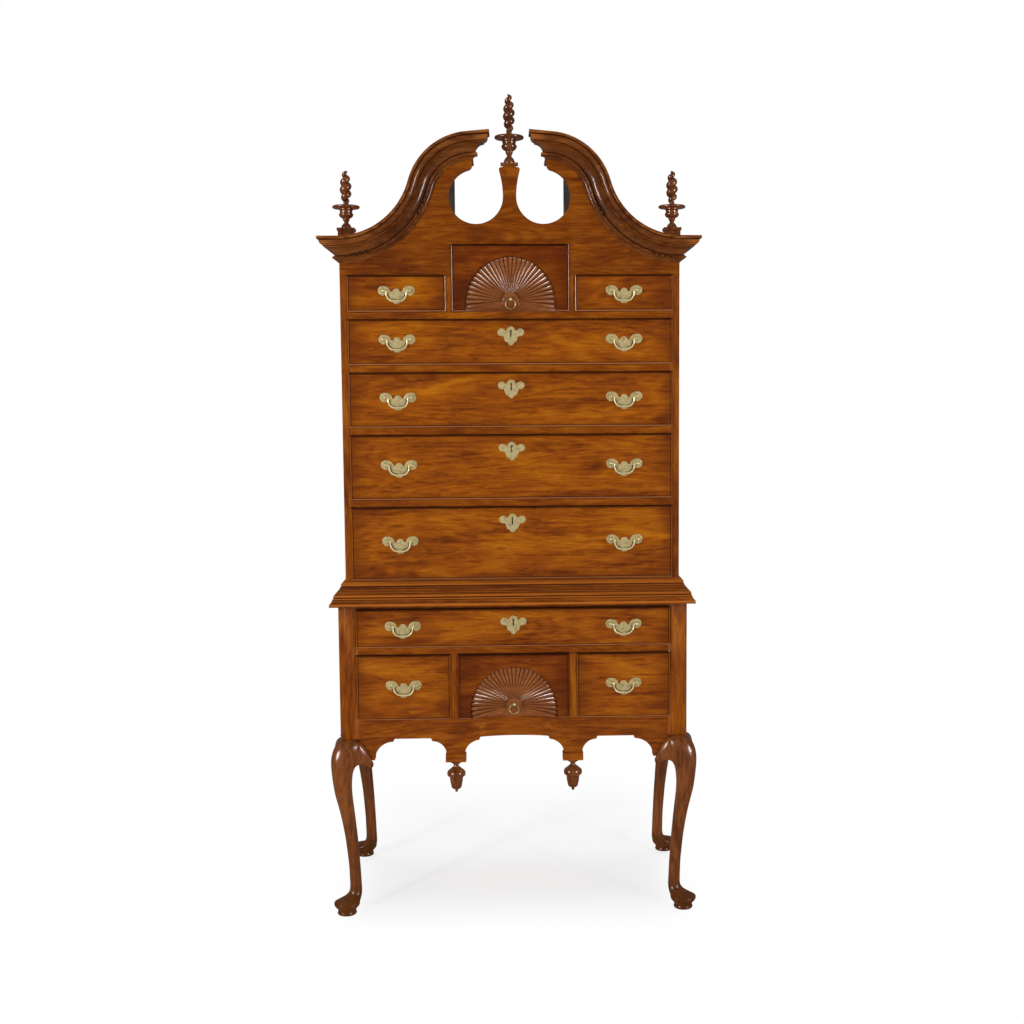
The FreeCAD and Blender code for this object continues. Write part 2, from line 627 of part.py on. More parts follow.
def waist_moulding():
    """Return the three mitred lengths that stand on the stand and clasp the chest."""
    ahead, left = corner_wedges(WAIST_REACH, Z_STAND, Z_STAND + WAIST_HEIGHT)
    start = V(-CHEST_HALF - WAIST_REACH, CHEST_SETBACK, Z_STAND)
    section = profile_face(waist_profile(), start, V(0, -1, 0), V(0, 0, 1))
    front = section.extrude(V(CHEST_WIDTH + 2 * WAIST_REACH, 0, 0)).common(ahead)
    start = V(-CHEST_HALF, CHEST_SETBACK - WAIST_REACH, Z_STAND)
    section = profile_face(waist_profile(), start, V(-1, 0, 0), V(0, 0, 1))
    side = section.extrude(V(0, CHEST_DEPTH + WAIST_REACH, 0)).common(left)
    return [front] + both_sides([side])


def neck_geometry():
    """Return both curve centres, the lower curve's end angle and both radii of the neck."""
    low = V(-CHEST_HALF, 0, Z_CORNICE + NECK_RISE)
    high = V(-NECK_TOP_X, 0, Z_CORNICE + NECK_TOP_RISE)
    between = high - low
    turn = math.degrees(math.atan2(between.z, between.x))
    return low, high, turn, NECK_RISE, NECK_TOP_RADIUS


def on_neck(offset):
    """Return the swan neck's path at an offset above its lower edge, as outline steps."""
    low, high, turn, low_radius, high_radius = neck_geometry()
    r0, r1 = low_radius - offset, high_radius + offset
    top_turn = 90 + NECK_END_SLOPE

    def at(centre, radius, angle):
        a = math.radians(angle)
        return centre.x + radius * math.cos(a), centre.z + radius * math.sin(a)

    meet = at(low, r0, turn)
    top = at(high, r1, top_turn)
    slope = math.radians(NECK_END_SLOPE)
    end = (top[0] + NECK_END_RUN * math.cos(slope), top[1] + NECK_END_RUN * math.sin(slope))
    return [at(low, r0, -90), (at(low, r0, (turn - 90) / 2), meet),
            (at(high, r1, (turn + 180 + top_turn) / 2), top), end]


def swan_neck():
    """Return the left gooseneck moulding, mitred at the corner, returned at the top."""
    low, high, turn, _, _ = neck_geometry()
    y = CHEST_SETBACK
    outward = V(0, -1, 0)
    start = V(-CHEST_HALF, y, Z_CORNICE)
    first = profile_face(cornice_profile(), start, outward, V(0, 0, 1))
    run = first.extrude(V(-CORNICE_REACH, 0, 0))
    lower = first.revolve(V(low.x, y, low.z), V(0, -1, 0), 90 + turn)
    _, _, (_, top), end = on_neck(0)
    slope = math.radians(NECK_END_SLOPE)
    along = V(math.cos(slope), 0, math.sin(slope))
    upward = V(-math.sin(slope), 0, math.cos(slope))
    last = profile_face(cornice_profile(), V(top[0], y, top[1]), outward, upward)
    upper = last.revolve(V(high.x, y, high.z), V(0, -1, 0), turn + 180 - (90 + NECK_END_SLOPE))
    tail = last.extrude(along * (NECK_END_RUN + CORNICE_REACH))
    corner = V(end[0], y - CORNICE_REACH, end[1])
    stop = profile_face(cornice_profile(), corner, along, upward)
    back = stop.extrude(V(0, CORNICE_REACH + BOARD_THICK, 0))
    straight = last.extrude(along * NECK_END_RUN)
    nose = tail.common(back)
    behind = back.common(block(-CHEST_HALF, 0, y, y + BOARD_THICK, Z_CORNICE, 2 * Z_CORNICE))
    whole = lower.fuse([upper, straight, nose, behind, run])
    return largest(whole.cut(mitre_waste()).removeSplitter())


def mitre_waste():
    """Return the wedge on the side moulding's half of the left cornice corner."""
    front = CHEST_SETBACK
    far = 2 * CORNICE_REACH
    return floor_plate([(-CHEST_HALF, front), (-CHEST_HALF - far, front - far),
                        (-CHEST_HALF - far, front)], Z_CORNICE, Z_CORNICE_TOP)


def cornice_moulding():
    """Return the two swan necks and the two mitred side mouldings."""
    _, left = corner_wedges(CORNICE_REACH, Z_CORNICE, Z_CORNICE_TOP)
    start = V(-CHEST_HALF, CHEST_SETBACK - CORNICE_REACH, Z_CORNICE)
    section = profile_face(cornice_profile(), start, V(-1, 0, 0), V(0, 0, 1))
    side = section.extrude(V(0, CHEST_DEPTH + CORNICE_REACH, 0)).common(left)
    return both_sides([swan_neck(), side])


# ---- Chest case and pediment ----------------------------------------------------------
def chest_sides():
    """Return the two sides; above the top row they stand behind the scroll board."""
    front = CHEST_SETBACK
    steps = [(front, Z_BOARD), (front + BOARD_THICK, Z_BOARD),
             (front + BOARD_THICK, Z_CORNICE + HOOD_INSIDE), (CHEST_BACK, Z_CORNICE + HOOD_INSIDE),
             (CHEST_BACK, Z_STAND)]
    return both_sides([side_plate((front, Z_STAND), steps, -CHEST_HALF, -CHEST_FACE)])


def chest_boards():
    """Return the base rail, the bottom board and the top board."""
    front = CHEST_SETBACK
    bottom = Z_CHEST_DRAWERS - CHEST_BOTTOM_THICK
    rail = block(-CHEST_FACE, CHEST_FACE, front, front + BOARD_THICK, Z_STAND, bottom)
    floor = block(-CHEST_FACE, CHEST_FACE, front, BACK_FACE, bottom, Z_CHEST_DRAWERS)
    top = block(-CHEST_FACE, CHEST_FACE, front + BOARD_THICK, BACK_FACE,
                Z_TOP_BOARD, Z_TOP_BOARD + TOP_BOARD_THICK)
    return [rail, floor, under_hood(top)]


def under_hood(board):
    """Return a board cut off where it would come through the hood."""
    hood = bonnet_hood()[0]
    return board.cut(hood).cut(mirrored(hood))


def chest_back():
    """Return the horizontal back boards of the chest."""
    top = Z_TOP_BOARD + TOP_BOARD_THICK
    height = (top - Z_STAND) / BACK_BOARDS
    boards = [block(-CHEST_FACE, CHEST_FACE, BACK_FACE, CHEST_BACK,
                    Z_STAND + board * height, Z_STAND + (board + 1) * height)
              for board in range(BACK_BOARDS)]
    return boards[:-1] + [under_hood(boards[-1])]


def flipped(steps):
    """Return a path's steps run backwards on the other side of the middle."""
    ends = [step[1] if isinstance(step[0], tuple) else step for step in steps]
    back = []
    for index in range(len(steps) - 1, 0, -1):
        x, z = ends[index - 1]
        if isinstance(steps[index][0], tuple):
            mid_x, mid_z = steps[index][0]
            back.append(((-mid_x, mid_z), (-x, z)))
        else:
            back.append((-x, z))
    return back


def bowed(start, end, bow):
    """Return the middle of an arc that bows out to the right of the way from start to end."""
    along = unit(start, end)
    return ((start[0] + end[0]) / 2 - bow * along[1], (start[1] + end[1]) / 2 + bow * along[0])


def scroll_board():
    """Return the pediment board: swan-neck top, two round openings and a middle plinth."""
    half_fan = TOP_FAN_OPENING / 2
    waist = HOLE_X - HOLE_RADIUS
    shoulder_z = Z_CORNICE + PLINTH_SHOULDER_RISE
    rise = shoulder_z - Z_HOLE

    def on_hole(angle):
        a = math.radians(angle)
        return -HOLE_X + HOLE_RADIUS * math.cos(a), Z_HOLE + HOLE_RADIUS * math.sin(a)

    neck_end = on_neck(0)[-1]
    lobe_top = (neck_end[0], neck_end[1] - LOBE_EDGE)
    lobe_end = on_hole(LOBE_ANGLE)
    left = on_neck(HOOD_INSIDE)
    left += [neck_end, lobe_top, (bowed(lobe_top, lobe_end, LOBE_BOW), lobe_end),
             (on_hole((LOBE_ANGLE + 270) / 2), on_hole(270)), (on_hole(315), on_hole(360)),
             ((-waist - 0.25 * (PLINTH_SHOULDER - waist), Z_HOLE + rise / 2),
              (-PLINTH_SHOULDER, shoulder_z)),
             ((0.2 * PLINTH_ROUND - PLINTH_SHOULDER, shoulder_z + 0.8 * PLINTH_ROUND),
              (PLINTH_ROUND - PLINTH_SHOULDER, shoulder_z + PLINTH_ROUND)),
             (-PLINTH_NECK, shoulder_z + 1.2 * PLINTH_ROUND), (-PLINTH_NECK, Z_PLINTH)]
    start = (-CHEST_HALF, Z_BOARD)
    right = [(PLINTH_NECK, Z_PLINTH)] + flipped(left)
    under = [(CHEST_HALF, Z_BOARD), (half_fan, Z_BOARD), (half_fan, Z_FAN_TOP),
             (-half_fan, Z_FAN_TOP), (-half_fan, Z_BOARD)]
    return [plate(start, left + right + under, CHEST_SETBACK, CHEST_SETBACK + BOARD_THICK)]


def hood_region(offset, floor):
    """Return the outline of the left half bonnet: under an offset of the neck, over a floor."""
    path = on_neck(offset)
    return (path[0][0], floor), path + [(path[-1][0], floor)]


def bonnet_hood():
    """Return for each side the curved hood, its inner wall and its back board."""
    floor = Z_TOP_BOARD + TOP_BOARD_THICK
    front, back = CHEST_SETBACK, CHEST_BACK
    outer = plate(*hood_region(CORNICE_HEIGHT, Z_BOARD), front, back)
    inner = plate(*hood_region(HOOD_INSIDE, Z_BOARD), front, back)
    hood = outer.cut(inner)
    wall_x = HOLE_X + HOLE_RADIUS
    board = block(-wall_x - HOOD_WALL_THICK, -wall_x, front + BOARD_THICK, BACK_FACE, floor,
                  2 * Z_CORNICE)
    closing = block(-CHEST_HALF, -wall_x, BACK_FACE, back, floor, 2 * Z_CORNICE)
    return both_sides([hood, board.common(inner), largest(closing.common(inner))])


def finial_plinths():
    """Return the two side plinths with their ledges and the middle plinth's cap."""
    half = SIDE_PLINTH / 2
    ledge = SIDE_PLINTH_LEDGE_OVER
    base = Z_CORNICE_TOP - SIDE_PLINTH_SEAT
    top = Z_CORNICE_TOP + SIDE_PLINTH_HEIGHT
    x, y = -SIDE_PLINTH_X, SIDE_PLINTH_Y
    stem = block(x - half, x + half, y - half, y + half, base, top - SIDE_PLINTH_LEDGE)
    cap = block(x - half - ledge, x + half + ledge, y - half - ledge, y + half + ledge,
                top - SIDE_PLINTH_LEDGE, top)
    side = stem.fuse(cap).removeSplitter().cut(bonnet_hood()[0]).cut(cornice_moulding()[1])
    front, back = CHEST_SETBACK - PLINTH_CAP_OVER, CHEST_SETBACK + BOARD_THICK + PLINTH_CAP_OVER
    cap = block(-PLINTH_CAP, PLINTH_CAP, front, back, Z_PLINTH, Z_PLINTH + PLINTH_CAP_HEIGHT)
    return both_sides([largest(side)]) + [cap]


def finial(x, y, z, height, disc):
    """Return a turned finial with a disc of the given radius, and a twist on top of it."""
    def at(radius, rise):
        return radius * disc, z + rise * height

    stem = turned(
        (0, z),
        [at(0.38, 0), at(0.38, 0.012), (at(0.31, 0.055), at(0.16, 0.092)), at(0.15, 0.108),
         (at(0.22, 0.135), at(0.262, 0.165)), at(0.24, 0.175), (at(0.43, 0.202), at(0.505, 0.243)),
         at(0.5, 0.252), at(0.43, 0.262), (at(0.405, 0.283), at(0.45, 0.316)), at(0.8, 0.33),
         (at(1.0, 0.366), at(0.8, 0.402)), at(0.25, 0.41), at(0.2, 0.43), at(0.19, FINIAL_STEM),
         at(0, FINIAL_STEM)], x, y)
    start = FINIAL_TWIST_START * height
    return stem.fuse(corkscrew(x, y, z + start, height - start)).removeSplitter()


def corkscrew(x, y, z, length):
    """Return one thick strand that winds up to a point, standing on its neck."""
    rings = []
    turns = length / FINIAL_TWIST_PITCH
    levels = round(7 * turns)
    for level in range(levels + 1):
        share = level / levels
        size = FINIAL_TWIST_RADIUS * twist_width(share)
        turn = 2 * math.pi * turns * share
        away = TWIST_ORBIT * size
        ring = []
        for step in range(16):
            angle = 2 * math.pi * step / 16
            ring.append(V(x + away * math.cos(turn) + (size - away) * math.cos(angle),
                          y + away * math.sin(turn) + (size - away) * math.sin(angle),
                          z + share * length))
        rings.append(ring)
    return loft(rings)


def twist_width(share):
    """Return a twist's width along its length: a neck, a swell and a pointed end."""
    return 0.35 + 0.65 * math.sin(math.pi * share ** 1.1) - 0.15 * share ** 3


def finials():
    """Return the two side finials and the taller middle one."""
    side = finial(-SIDE_PLINTH_X, SIDE_PLINTH_Y, Z_CORNICE_TOP + SIDE_PLINTH_HEIGHT,
                  FINIAL_HEIGHT, FINIAL_DISC_RADIUS)
    middle = finial(0, CHEST_SETBACK + BOARD_THICK / 2, Z_PLINTH + PLINTH_CAP_HEIGHT,
                    MIDDLE_FINIAL_HEIGHT, MIDDLE_FINIAL_DISC_RADIUS)
    return both_sides([side]) + [middle]


# ---- Drawers --------------------------------------------------------------------------
class Drawer:
    """One drawer: its opening, the case it slides in, and what its front carries."""

    def __init__(self, name, span, rows, in_stand, pulls=(), lock=False, fan=0.0):
        self.name = name
        self.x0, self.x1 = span
        self.z0, self.z1 = rows
        self.front = 0.0 if in_stand else CHEST_SETBACK
        self.back = (STAND_BACK_FACE if in_stand else BACK_FACE) - DRAWER_AIR
        self.pulls = pulls
        self.lock = lock
        self.fan = fan
        self.core = FAN_CORE if fan else FRONT_CORE
        self.face = self.front - LIP_THICK

    @property
    def pull_z(self):
        """Height of the middle of the back plates."""
        return (self.z0 + self.z1) / 2 - PULL_DROP

    @property
    def escutcheon_z(self):
        """Height of the middle of the key plate."""
        return self.z1 + LIP_OVER - KEY_PLATE_DROP

    @property
    def fan_z(self):
        """Height of the fan's centre."""
        return self.z0 + FAN_RISE

    def side_board(self):
        """Return the left side with dovetails at its front end and a groove for the bottom."""
        low, high = self.z0 + RUN_PLAY, self.z1 - SIDE_DROP
        tip = self.front + self.core - DOVETAIL
        root = self.front + self.core
        count = max(2, round((high - low) / DOVETAIL_PITCH))
        pitch = (high - low) / count
        steps = []
        for tail in range(count):
            middle = low + pitch * (tail + 0.5)
            wide = pitch * 0.36
            steps += [(root, middle - wide + DOVETAIL_FLARE), (tip, middle - wide),
                      (tip, middle + wide), (root, middle + wide - DOVETAIL_FLARE)]
        steps += [(root, high), (self.back, high), (self.back, low)]
        left = self.x0 + SIDE_PLAY
        return side_plate((root, low), steps, left, left + DRAWER_SIDE)

    def front_board(self, sides, bottom):
        """Return the lipped front with a moulded edge, sockets, groove and any carving."""
        low = self.z0 + RUN_PLAY
        lip = block(self.x0 - LIP_OVER, self.x1 + LIP_OVER, self.face + LIP_STEP, self.front,
                    low, self.z1 + LIP_OVER)
        edges = [edge for edge in lip.Edges
                 if abs(edge.BoundBox.YMax - (self.face + LIP_STEP)) < 1e-6]
        lip = lip.makeFillet(LIP_ROUND, edges)
        inset = LIP_ROUND
        field = block(self.x0 - LIP_OVER + inset, self.x1 + LIP_OVER - inset, self.face,
                      self.face + LIP_STEP, low + inset, self.z1 + LIP_OVER - inset)
        core = block(self.x0 + SIDE_PLAY, self.x1 - SIDE_PLAY, self.front, self.front + self.core,
                     low, self.z1 - TOP_PLAY)
        front = lip.fuse([field, core]).removeSplitter()
        for cutter in sides + [bottom] + self.cutters():
            front = front.cut(cutter)
        return front

    def cutters(self):
        """Return what is bored or carved out of the front."""
        cuts = []
        through = self.core + LIP_THICK
        for x in self.post_places():
            cuts.append(rod(V(x[0], self.face, x[1]), V(0, 1, 0), through,
                            POST_SHANK + SHANK_PLAY))
        if self.lock:
            cuts.append(self.keyhole(self.face, self.front + self.core))
            cuts.append(self.lock_block(0.0))
        if self.fan:
            cuts.append(self.fan_hollow())
        return cuts

    def post_places(self):
        """Return (x, z) of every post that goes through the front."""
        places = []
        for x in self.pulls:
            for side in (-1, 1):
                places.append((x + side * PULL_SPAN / 2, self.pull_z + PULL_POST_RISE))
        if self.fan:
            places.append((0.0, self.ring_top))
        return places

    @property
    def ring_top(self):
        """Height of the ring pull's eye."""
        return self.fan_z - RING_DROP + RING_RADIUS

    def keyhole(self, y0, y1):
        """Return the key's way through: a round hole over a narrow slot."""
        z = self.escutcheon_z + KEYHOLE_RISE
        hole = rod(V(0, y0, z), V(0, 1, 0), y1 - y0, KEYHOLE_RADIUS)
        half = 0.7 * KEYHOLE_RADIUS
        slot = block(-half, half, y0, y1, z - KEYHOLE_SLOT, z)
        return hole.fuse(slot)

    def lock_block(self, play):
        """Return the room of the lock case, let into the back of the front."""
        half = LOCK_WIDTH / 2 + play
        back = self.front + self.core
        top = self.z1 - TOP_PLAY
        return block(-half, half, back - LOCK_THICK, back, top - LOCK_HEIGHT, top)

    @property
    def dish(self):
        """Centre and radius of the hollow behind the fan."""
        radius = dish_radius(self.fan)
        return V(0, self.front + HOLLOW_DEPTH + CARVING_ROOM - radius, self.fan_z), radius

    def fan_hollow(self):
        """Return the hollow: a dish above the fan's centre, a plain curve below it."""
        centre, radius = self.dish
        low, deep = self.z0 - LIP_OVER, self.front + self.core
        rim = rod(V(0, self.face, self.fan_z), V(0, 1, 0), deep - self.face, self.fan)
        above = block(-self.fan, self.fan, self.face, deep, self.fan_z, self.z1 + self.fan)
        bowl = Part.makeSphere(radius, centre).common(above).common(rim)
        column = rod(V(0, centre.y, low), V(0, 0, 1), self.fan_z - low, radius)
        below = block(-self.fan, self.fan, self.face, deep, low, self.fan_z)
        return bowl.fuse(column.common(below))

    def lock_case(self):
        """Return the lock's body with its key passage and the channel of its bolt."""
        case = self.lock_block(0.0)
        case = case.cut(self.keyhole(self.front, self.front + self.core - LOCK_THICK + KEY_DEPTH))
        return case.cut(self.bolt(BOLT_PLAY, BOLT_THROW))

    def bolt(self, play, extra):
        """Return the sliding bolt, or with play and extra height the channel it runs in."""
        half = BOLT_WIDTH / 2 + play
        y = self.front + self.core - LOCK_THICK / 2
        thick = BOLT_THICK / 2 + play
        top = self.z1 - TOP_PLAY - BOLT_SINK
        return block(-half, half, y - thick, y + thick, top - BOLT_HEIGHT - play, top + extra)

    def wood(self):
        """Return the front, two sides, back and bottom."""
        side = self.side_board()
        middle = (self.x0 + self.x1) / 2
        other = side.mirror(V(middle, 0, 0), V(1, 0, 0))
        inner = SIDE_PLAY + DRAWER_SIDE
        low = self.z0 + BOTTOM_RISE
        bottom = block(self.x0 + inner - GROOVE, self.x1 - inner + GROOVE,
                       self.front + self.core - GROOVE, self.back, low, low + DRAWER_BOTTOM)
        back = block(self.x0 + inner, self.x1 - inner, self.back - DRAWER_BACK, self.back,
                     low + DRAWER_BOTTOM, self.z1 - SIDE_DROP)
        front = self.front_board([side, other], bottom)
        return [front, side.cut(bottom), other.cut(bottom), back, bottom]

    def brasses(self):
        """Return every fixed brass: back plates, posts and nuts, key plate, nails, lock."""
        pieces = []
        for x in self.pulls:
            pieces.append(self.back_plate(x))
        for x, z in self.post_places():
            eye = abs(x) < 1.0
            pieces += self.eye_post(x, z) if eye else self.pull_post(x, z)
        if self.lock:
            pieces += self.key_plate()
            pieces.append(self.lock_case())
        return pieces

    def back_plate(self, x):
        """Return a bat-wing back plate with its post holes."""
        shape = plate(*symmetric_outline(PLATE_STEPS, x, self.pull_z),
                      self.face - PLATE_THICK, self.face)
        for side in (-1, 1):
            hole = rod(V(x + side * PULL_SPAN / 2, self.face - PLATE_THICK,
                         self.pull_z + PULL_POST_RISE), V(0, 1, 0), PLATE_THICK, POST_SHANK + SHANK_PLAY)
            shape = shape.cut(hole)
        return shape

    def pull_post(self, x, z):
        """Return a post with a collar and a ball bored for the bail's end, and its nut."""
        y = self.face - BAIL_STANDOFF
        collar = rod(V(x, self.face - PLATE_THICK, z), V(0, -1, 0), COLLAR_THICK, COLLAR_RADIUS)
        toward = 1 if x < nearest(self.pulls, x) else -1
        bore = rod(V(x, y, z), V(toward, 0, 0), 2 * POST_HEAD, BAIL_WIRE + PIN_PLAY)
        ball, nut = self.post_and_nut(x, y, z, POST_HEAD)
        return [ball.fuse(collar).removeSplitter().cut(bore), nut]

    def eye_post(self, x, z):
        """Return the ring pull's post, its end bored through for the ring, and its nut."""
        post, nut = self.post_and_nut(x, self.ring_y, z, RING_EYE)
        bore = rod(V(x - 2 * RING_EYE, self.ring_y, z), V(1, 0, 0), 4 * RING_EYE,
                   RING_WIRE + RING_EYE_PLAY)
        return [post.cut(bore), nut]

    def post_and_nut(self, x, y, z, head):
        """Return a ball on a shank that goes through the front, and the nut behind it."""
        ball = Part.makeSphere(head, V(x, y, z), V(0, 1, 0))
        behind = self.front + self.core
        shank = rod(V(x, y, z), V(0, 1, 0), behind + 1.4 * NUT_THICK - y, POST_SHANK)
        nut = rod(V(x, behind, z), V(0, 1, 0), NUT_THICK, NUT_RADIUS)
        return ball.fuse(shank).removeSplitter(), nut.cut(shank)

    @property
    def ring_y(self):
        """Depth of the ring pull's axis, in front of the dish."""
        centre, radius = self.dish
        up = self.ring_top - self.fan_z
        return centre.y + math.sqrt(radius ** 2 - up ** 2) - RING_STANDOFF

    def key_plate(self):
        """Return the escutcheon with its keyhole, and its two nails."""
        z = self.escutcheon_z
        shape = plate(*symmetric_outline(ESCUTCHEON_STEPS, 0.0, z),
                      self.face - PLATE_THICK, self.face)
        shape = shape.cut(self.keyhole(self.face - PLATE_THICK, self.face))
        nails = []
        for rise in ESCUTCHEON_NAILS:
            nail = Part.makeSphere(NAIL_RADIUS, V(0, self.face - PLATE_THICK, z + rise))
            keep = block(-5, 5, self.face - 5, self.face - PLATE_THICK, z - 40, z + 40)
            nails.append(nail.common(keep))
        return [shape] + nails

    def bail(self, x):
        """Return a bail hanging from its two posts."""
        z = self.pull_z + PULL_POST_RISE
        y = self.face - BAIL_STANDOFF
        end = PULL_SPAN / 2 - POST_HEAD + PIN_DEPTH
        half = BAIL_WIDTH / 2
        corners = [(-half, 0), (-half, -BAIL_DROP), (half, -BAIL_DROP), (half, 0)]
        bends = [BAIL_BEND, BAIL_CORNER, BAIL_CORNER, BAIL_BEND]
        path = bent_path((-end, 0), corners, bends, (end, 0))
        return bent_wire(path, lambda u, w: V(x + u, y, z + w), BAIL_WIRE)

    def ring(self):
        """Return the ring, hanging through the eye of its post."""
        centre = V(0, self.ring_y, self.ring_top - RING_RADIUS)
        return Part.makeTorus(RING_RADIUS, RING_WIRE, centre, V(0, 1, 0))


def nearest(values, x):
    """Return the value that lies nearest to x."""
    return min(values, key=lambda value: abs(value - x))


def bent_path(start, corners, bends, end):
    """Return the points and arcs of a path with a rounded bend at each square corner."""
    path = [start]
    points = [start] + corners + [end]
    for before, corner, after, bend in zip(points, corners, points[2:], bends):
        into = unit(before, corner)
        out = unit(corner, after)
        inside = bend * (1 - math.sqrt(0.5))
        path.append((corner[0] - into[0] * bend, corner[1] - into[1] * bend))
        path.append(((corner[0] + (out[0] - into[0]) * inside, corner[1] + (out[1] - into[1]) * inside),
                     (corner[0] + out[0] * bend, corner[1] + out[1] * bend)))
    return path + [end]


def unit(start, end):
    """Return the direction from one point to another."""
    length = math.dist(start, end)
    return (end[0] - start[0]) / length, (end[1] - start[1]) / length


def bent_wire(path, place, radius):
    """Return a round wire that follows a path."""
    edges = []
    here = place(*path[0])
    for step in path[1:]:
        if isinstance(step[0], tuple):
            end = place(*step[1])
            edges.append(Part.Arc(here, place(*step[0]), end).toShape())
        else:
            end = place(*step)
            edges.append(Part.LineSegment(here, end).toShape())
        here = end
    start = edges[0].tangentAt(edges[0].FirstParameter)
    ring = Part.Wire([Part.makeCircle(radius, place(*path[0]), start)])
    return Part.Wire(edges).makePipeShell([ring], True, True)


# Right half of each brass plate's edge, from its top point down to its lowest point.
PLATE_STEPS = ((0, 16.2), [
    ((5.6, 14.4), (8.6, 10.0)), ((12.5, 7.6), (16.0, 11.5)), ((22.0, 19.6), (32.0, 22.6)),
    ((48.0, 12.0), (38.5, -1.6)), ((32.0, -1.8), (28.5, 2.4)), (25.5, -2.0),
    ((23.5, -11.5), (16.0, -17.5)), ((13.0, -18.6), (10.0, -18.2)), ((7.5, -22.6), (0, -24.2))])
ESCUTCHEON_STEPS = ((0, 17.7), [
    ((6.8, 15.2), (11.0, 8.5)), ((14.0, 6.8), (17.0, 8.6)), ((35.0, 1.6), (24.0, -8.2)),
    ((21.5, -8.4), (19.5, -8.0)), ((17.5, -14.0), (15.0, -20.0)), ((12.5, -23.4), (9.0, -24.0)),
    ((6.0, -29.0), (0, -32.5))])
ESCUTCHEON_NAILS = (13.5, -27.5)


def shifted(steps, x, z):
    """Return outline steps moved by x and z."""
    moved = []
    for step in steps:
        if isinstance(step[0], tuple):
            moved.append(((x + step[0][0], z + step[0][1]), (x + step[1][0], z + step[1][1])))
        else:
            moved.append((x + step[0], z + step[1]))
    return moved


def symmetric_outline(half, x, z):
    """Return an outline from the right half of an edge, placed about x and z."""
    start, steps = half
    whole = list(steps) + flipped([start] + list(steps))
    return (x + start[0], z + start[1]), shifted(whole, x, z)


def drawers():
    """Return the eleven drawers, from the bottom of the stand to the top of the chest."""
    stand_row = (Z_SMALL, Z_STAND_RAIL)
    fan = STAND_FAN_OPENING / 2
    made = [
        Drawer("stand_left_drawer", (-POST_FACE, -STAND_ROW_X), stand_row, True, (-STAND_PULL_X,)),
        Drawer("stand_fan_drawer", (-fan, fan), stand_row, True, fan=STAND_FAN_RADIUS),
        Drawer("stand_right_drawer", (STAND_ROW_X, POST_FACE), stand_row, True, (STAND_PULL_X,)),
        Drawer("stand_long_drawer", (-POST_FACE, POST_FACE), (Z_STAND_LONG, Z_TOP_RAIL), True,
               (-STAND_PULL_X, STAND_PULL_X), True),
    ]
    for number, rows in enumerate(LONG_ROWS):
        made.append(Drawer("long_drawer_%d" % (number + 1), (-CHEST_FACE, CHEST_FACE), rows, False,
                           (-CHEST_PULL_X, CHEST_PULL_X), True))
    top_row = (Z_TOP_ROW, Z_BOARD)
    fan = TOP_FAN_OPENING / 2
    made += [
        Drawer("top_left_drawer", (-CHEST_FACE, -TOP_ROW_X), top_row, False, (-CHEST_PULL_X,)),
        Drawer("top_fan_drawer", (-fan, fan), (Z_TOP_ROW, Z_FAN_TOP), False, fan=FAN_RADIUS),
        Drawer("top_right_drawer", (TOP_ROW_X, CHEST_FACE), top_row, False, (CHEST_PULL_X,)),
    ]
    return made


# ---- Every node -----------------------------------------------------------------------
def nodes():
    """Return every node's name and its solids."""
    front_legs, back_legs = legs_with_brackets()
    made = {
        "front_legs": front_legs,
        "back_legs": back_legs,
        "stand_sides": stand_sides(),
        "stand_apron": stand_apron(),
        "stand_rails": stand_rails(),
        "acorn_drops": acorn_drops(),
        "waist_moulding": waist_moulding(),
        "drawer_runners": drawer_runners(),
        "chest_sides": chest_sides(),
        "chest_boards": chest_boards(),
        "chest_rails": chest_rails(),
        "back_boards": stand_back() + chest_back(),
        "scroll_board": scroll_board(),
        "cornice_moulding": cornice_moulding(),
        "bonnet_hood": bonnet_hood(),
        "finial_plinths": finial_plinths(),
        "finials": finials(),
    }
    for drawer in drawers():
        made[drawer.name] = drawer.wood()
        made[drawer.name + "_brasses"] = drawer.brasses()
        for x in drawer.pulls:
            side = "left" if x < 0 else "right"
            made["%s_%s_bail" % (drawer.name, side)] = [drawer.bail(x)]
        if drawer.fan:
            made[drawer.name + "_ring"] = [drawer.ring()]
        if drawer.lock:
            made[drawer.name + "_lock_bolt"] = [drawer.bolt(0.0, 0.0)]
    return made


def depth_shift(made):
    """Return how far the middle of the whole piece lies behind the stand's front."""
    boxes = [solid.BoundBox for solids in made.values() for solid in solids]
    return (min(box.YMin for box in boxes) + max(box.YMax for box in boxes)) / 2


def main():
    """Make every node and write it to parts/."""
    os.makedirs("parts", exist_ok=True)
    made = nodes()
    shift = V(0, -depth_shift(made), 0)
    for name, solids in made.items():
        group = Part.makeCompound([solid.translated(shift) for solid in solids])
        if not group.isValid():
            print("not valid:", name)
        group.exportStep("parts/%s.step" % name)
    print("nodes", len(made), "shift %.3f" % shift.y)


if __name__ == "__main__":
    main()
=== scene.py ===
"""Looks for a bonnet-top high chest of drawers on its stand.

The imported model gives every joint, board and fitting its place. The classes below give the
wood its grain and eased edges, carve the fans, turn the finials and cast the brasses.
Lengths are in metres, X to the right, Y to the back and Z up.
"""
from __future__ import annotations

import logging
import math
from contextlib import contextmanager
from dataclasses import dataclass
from enum import Enum
from functools import cache
from itertools import accumulate
from typing import Iterator, Optional, Sequence, Union

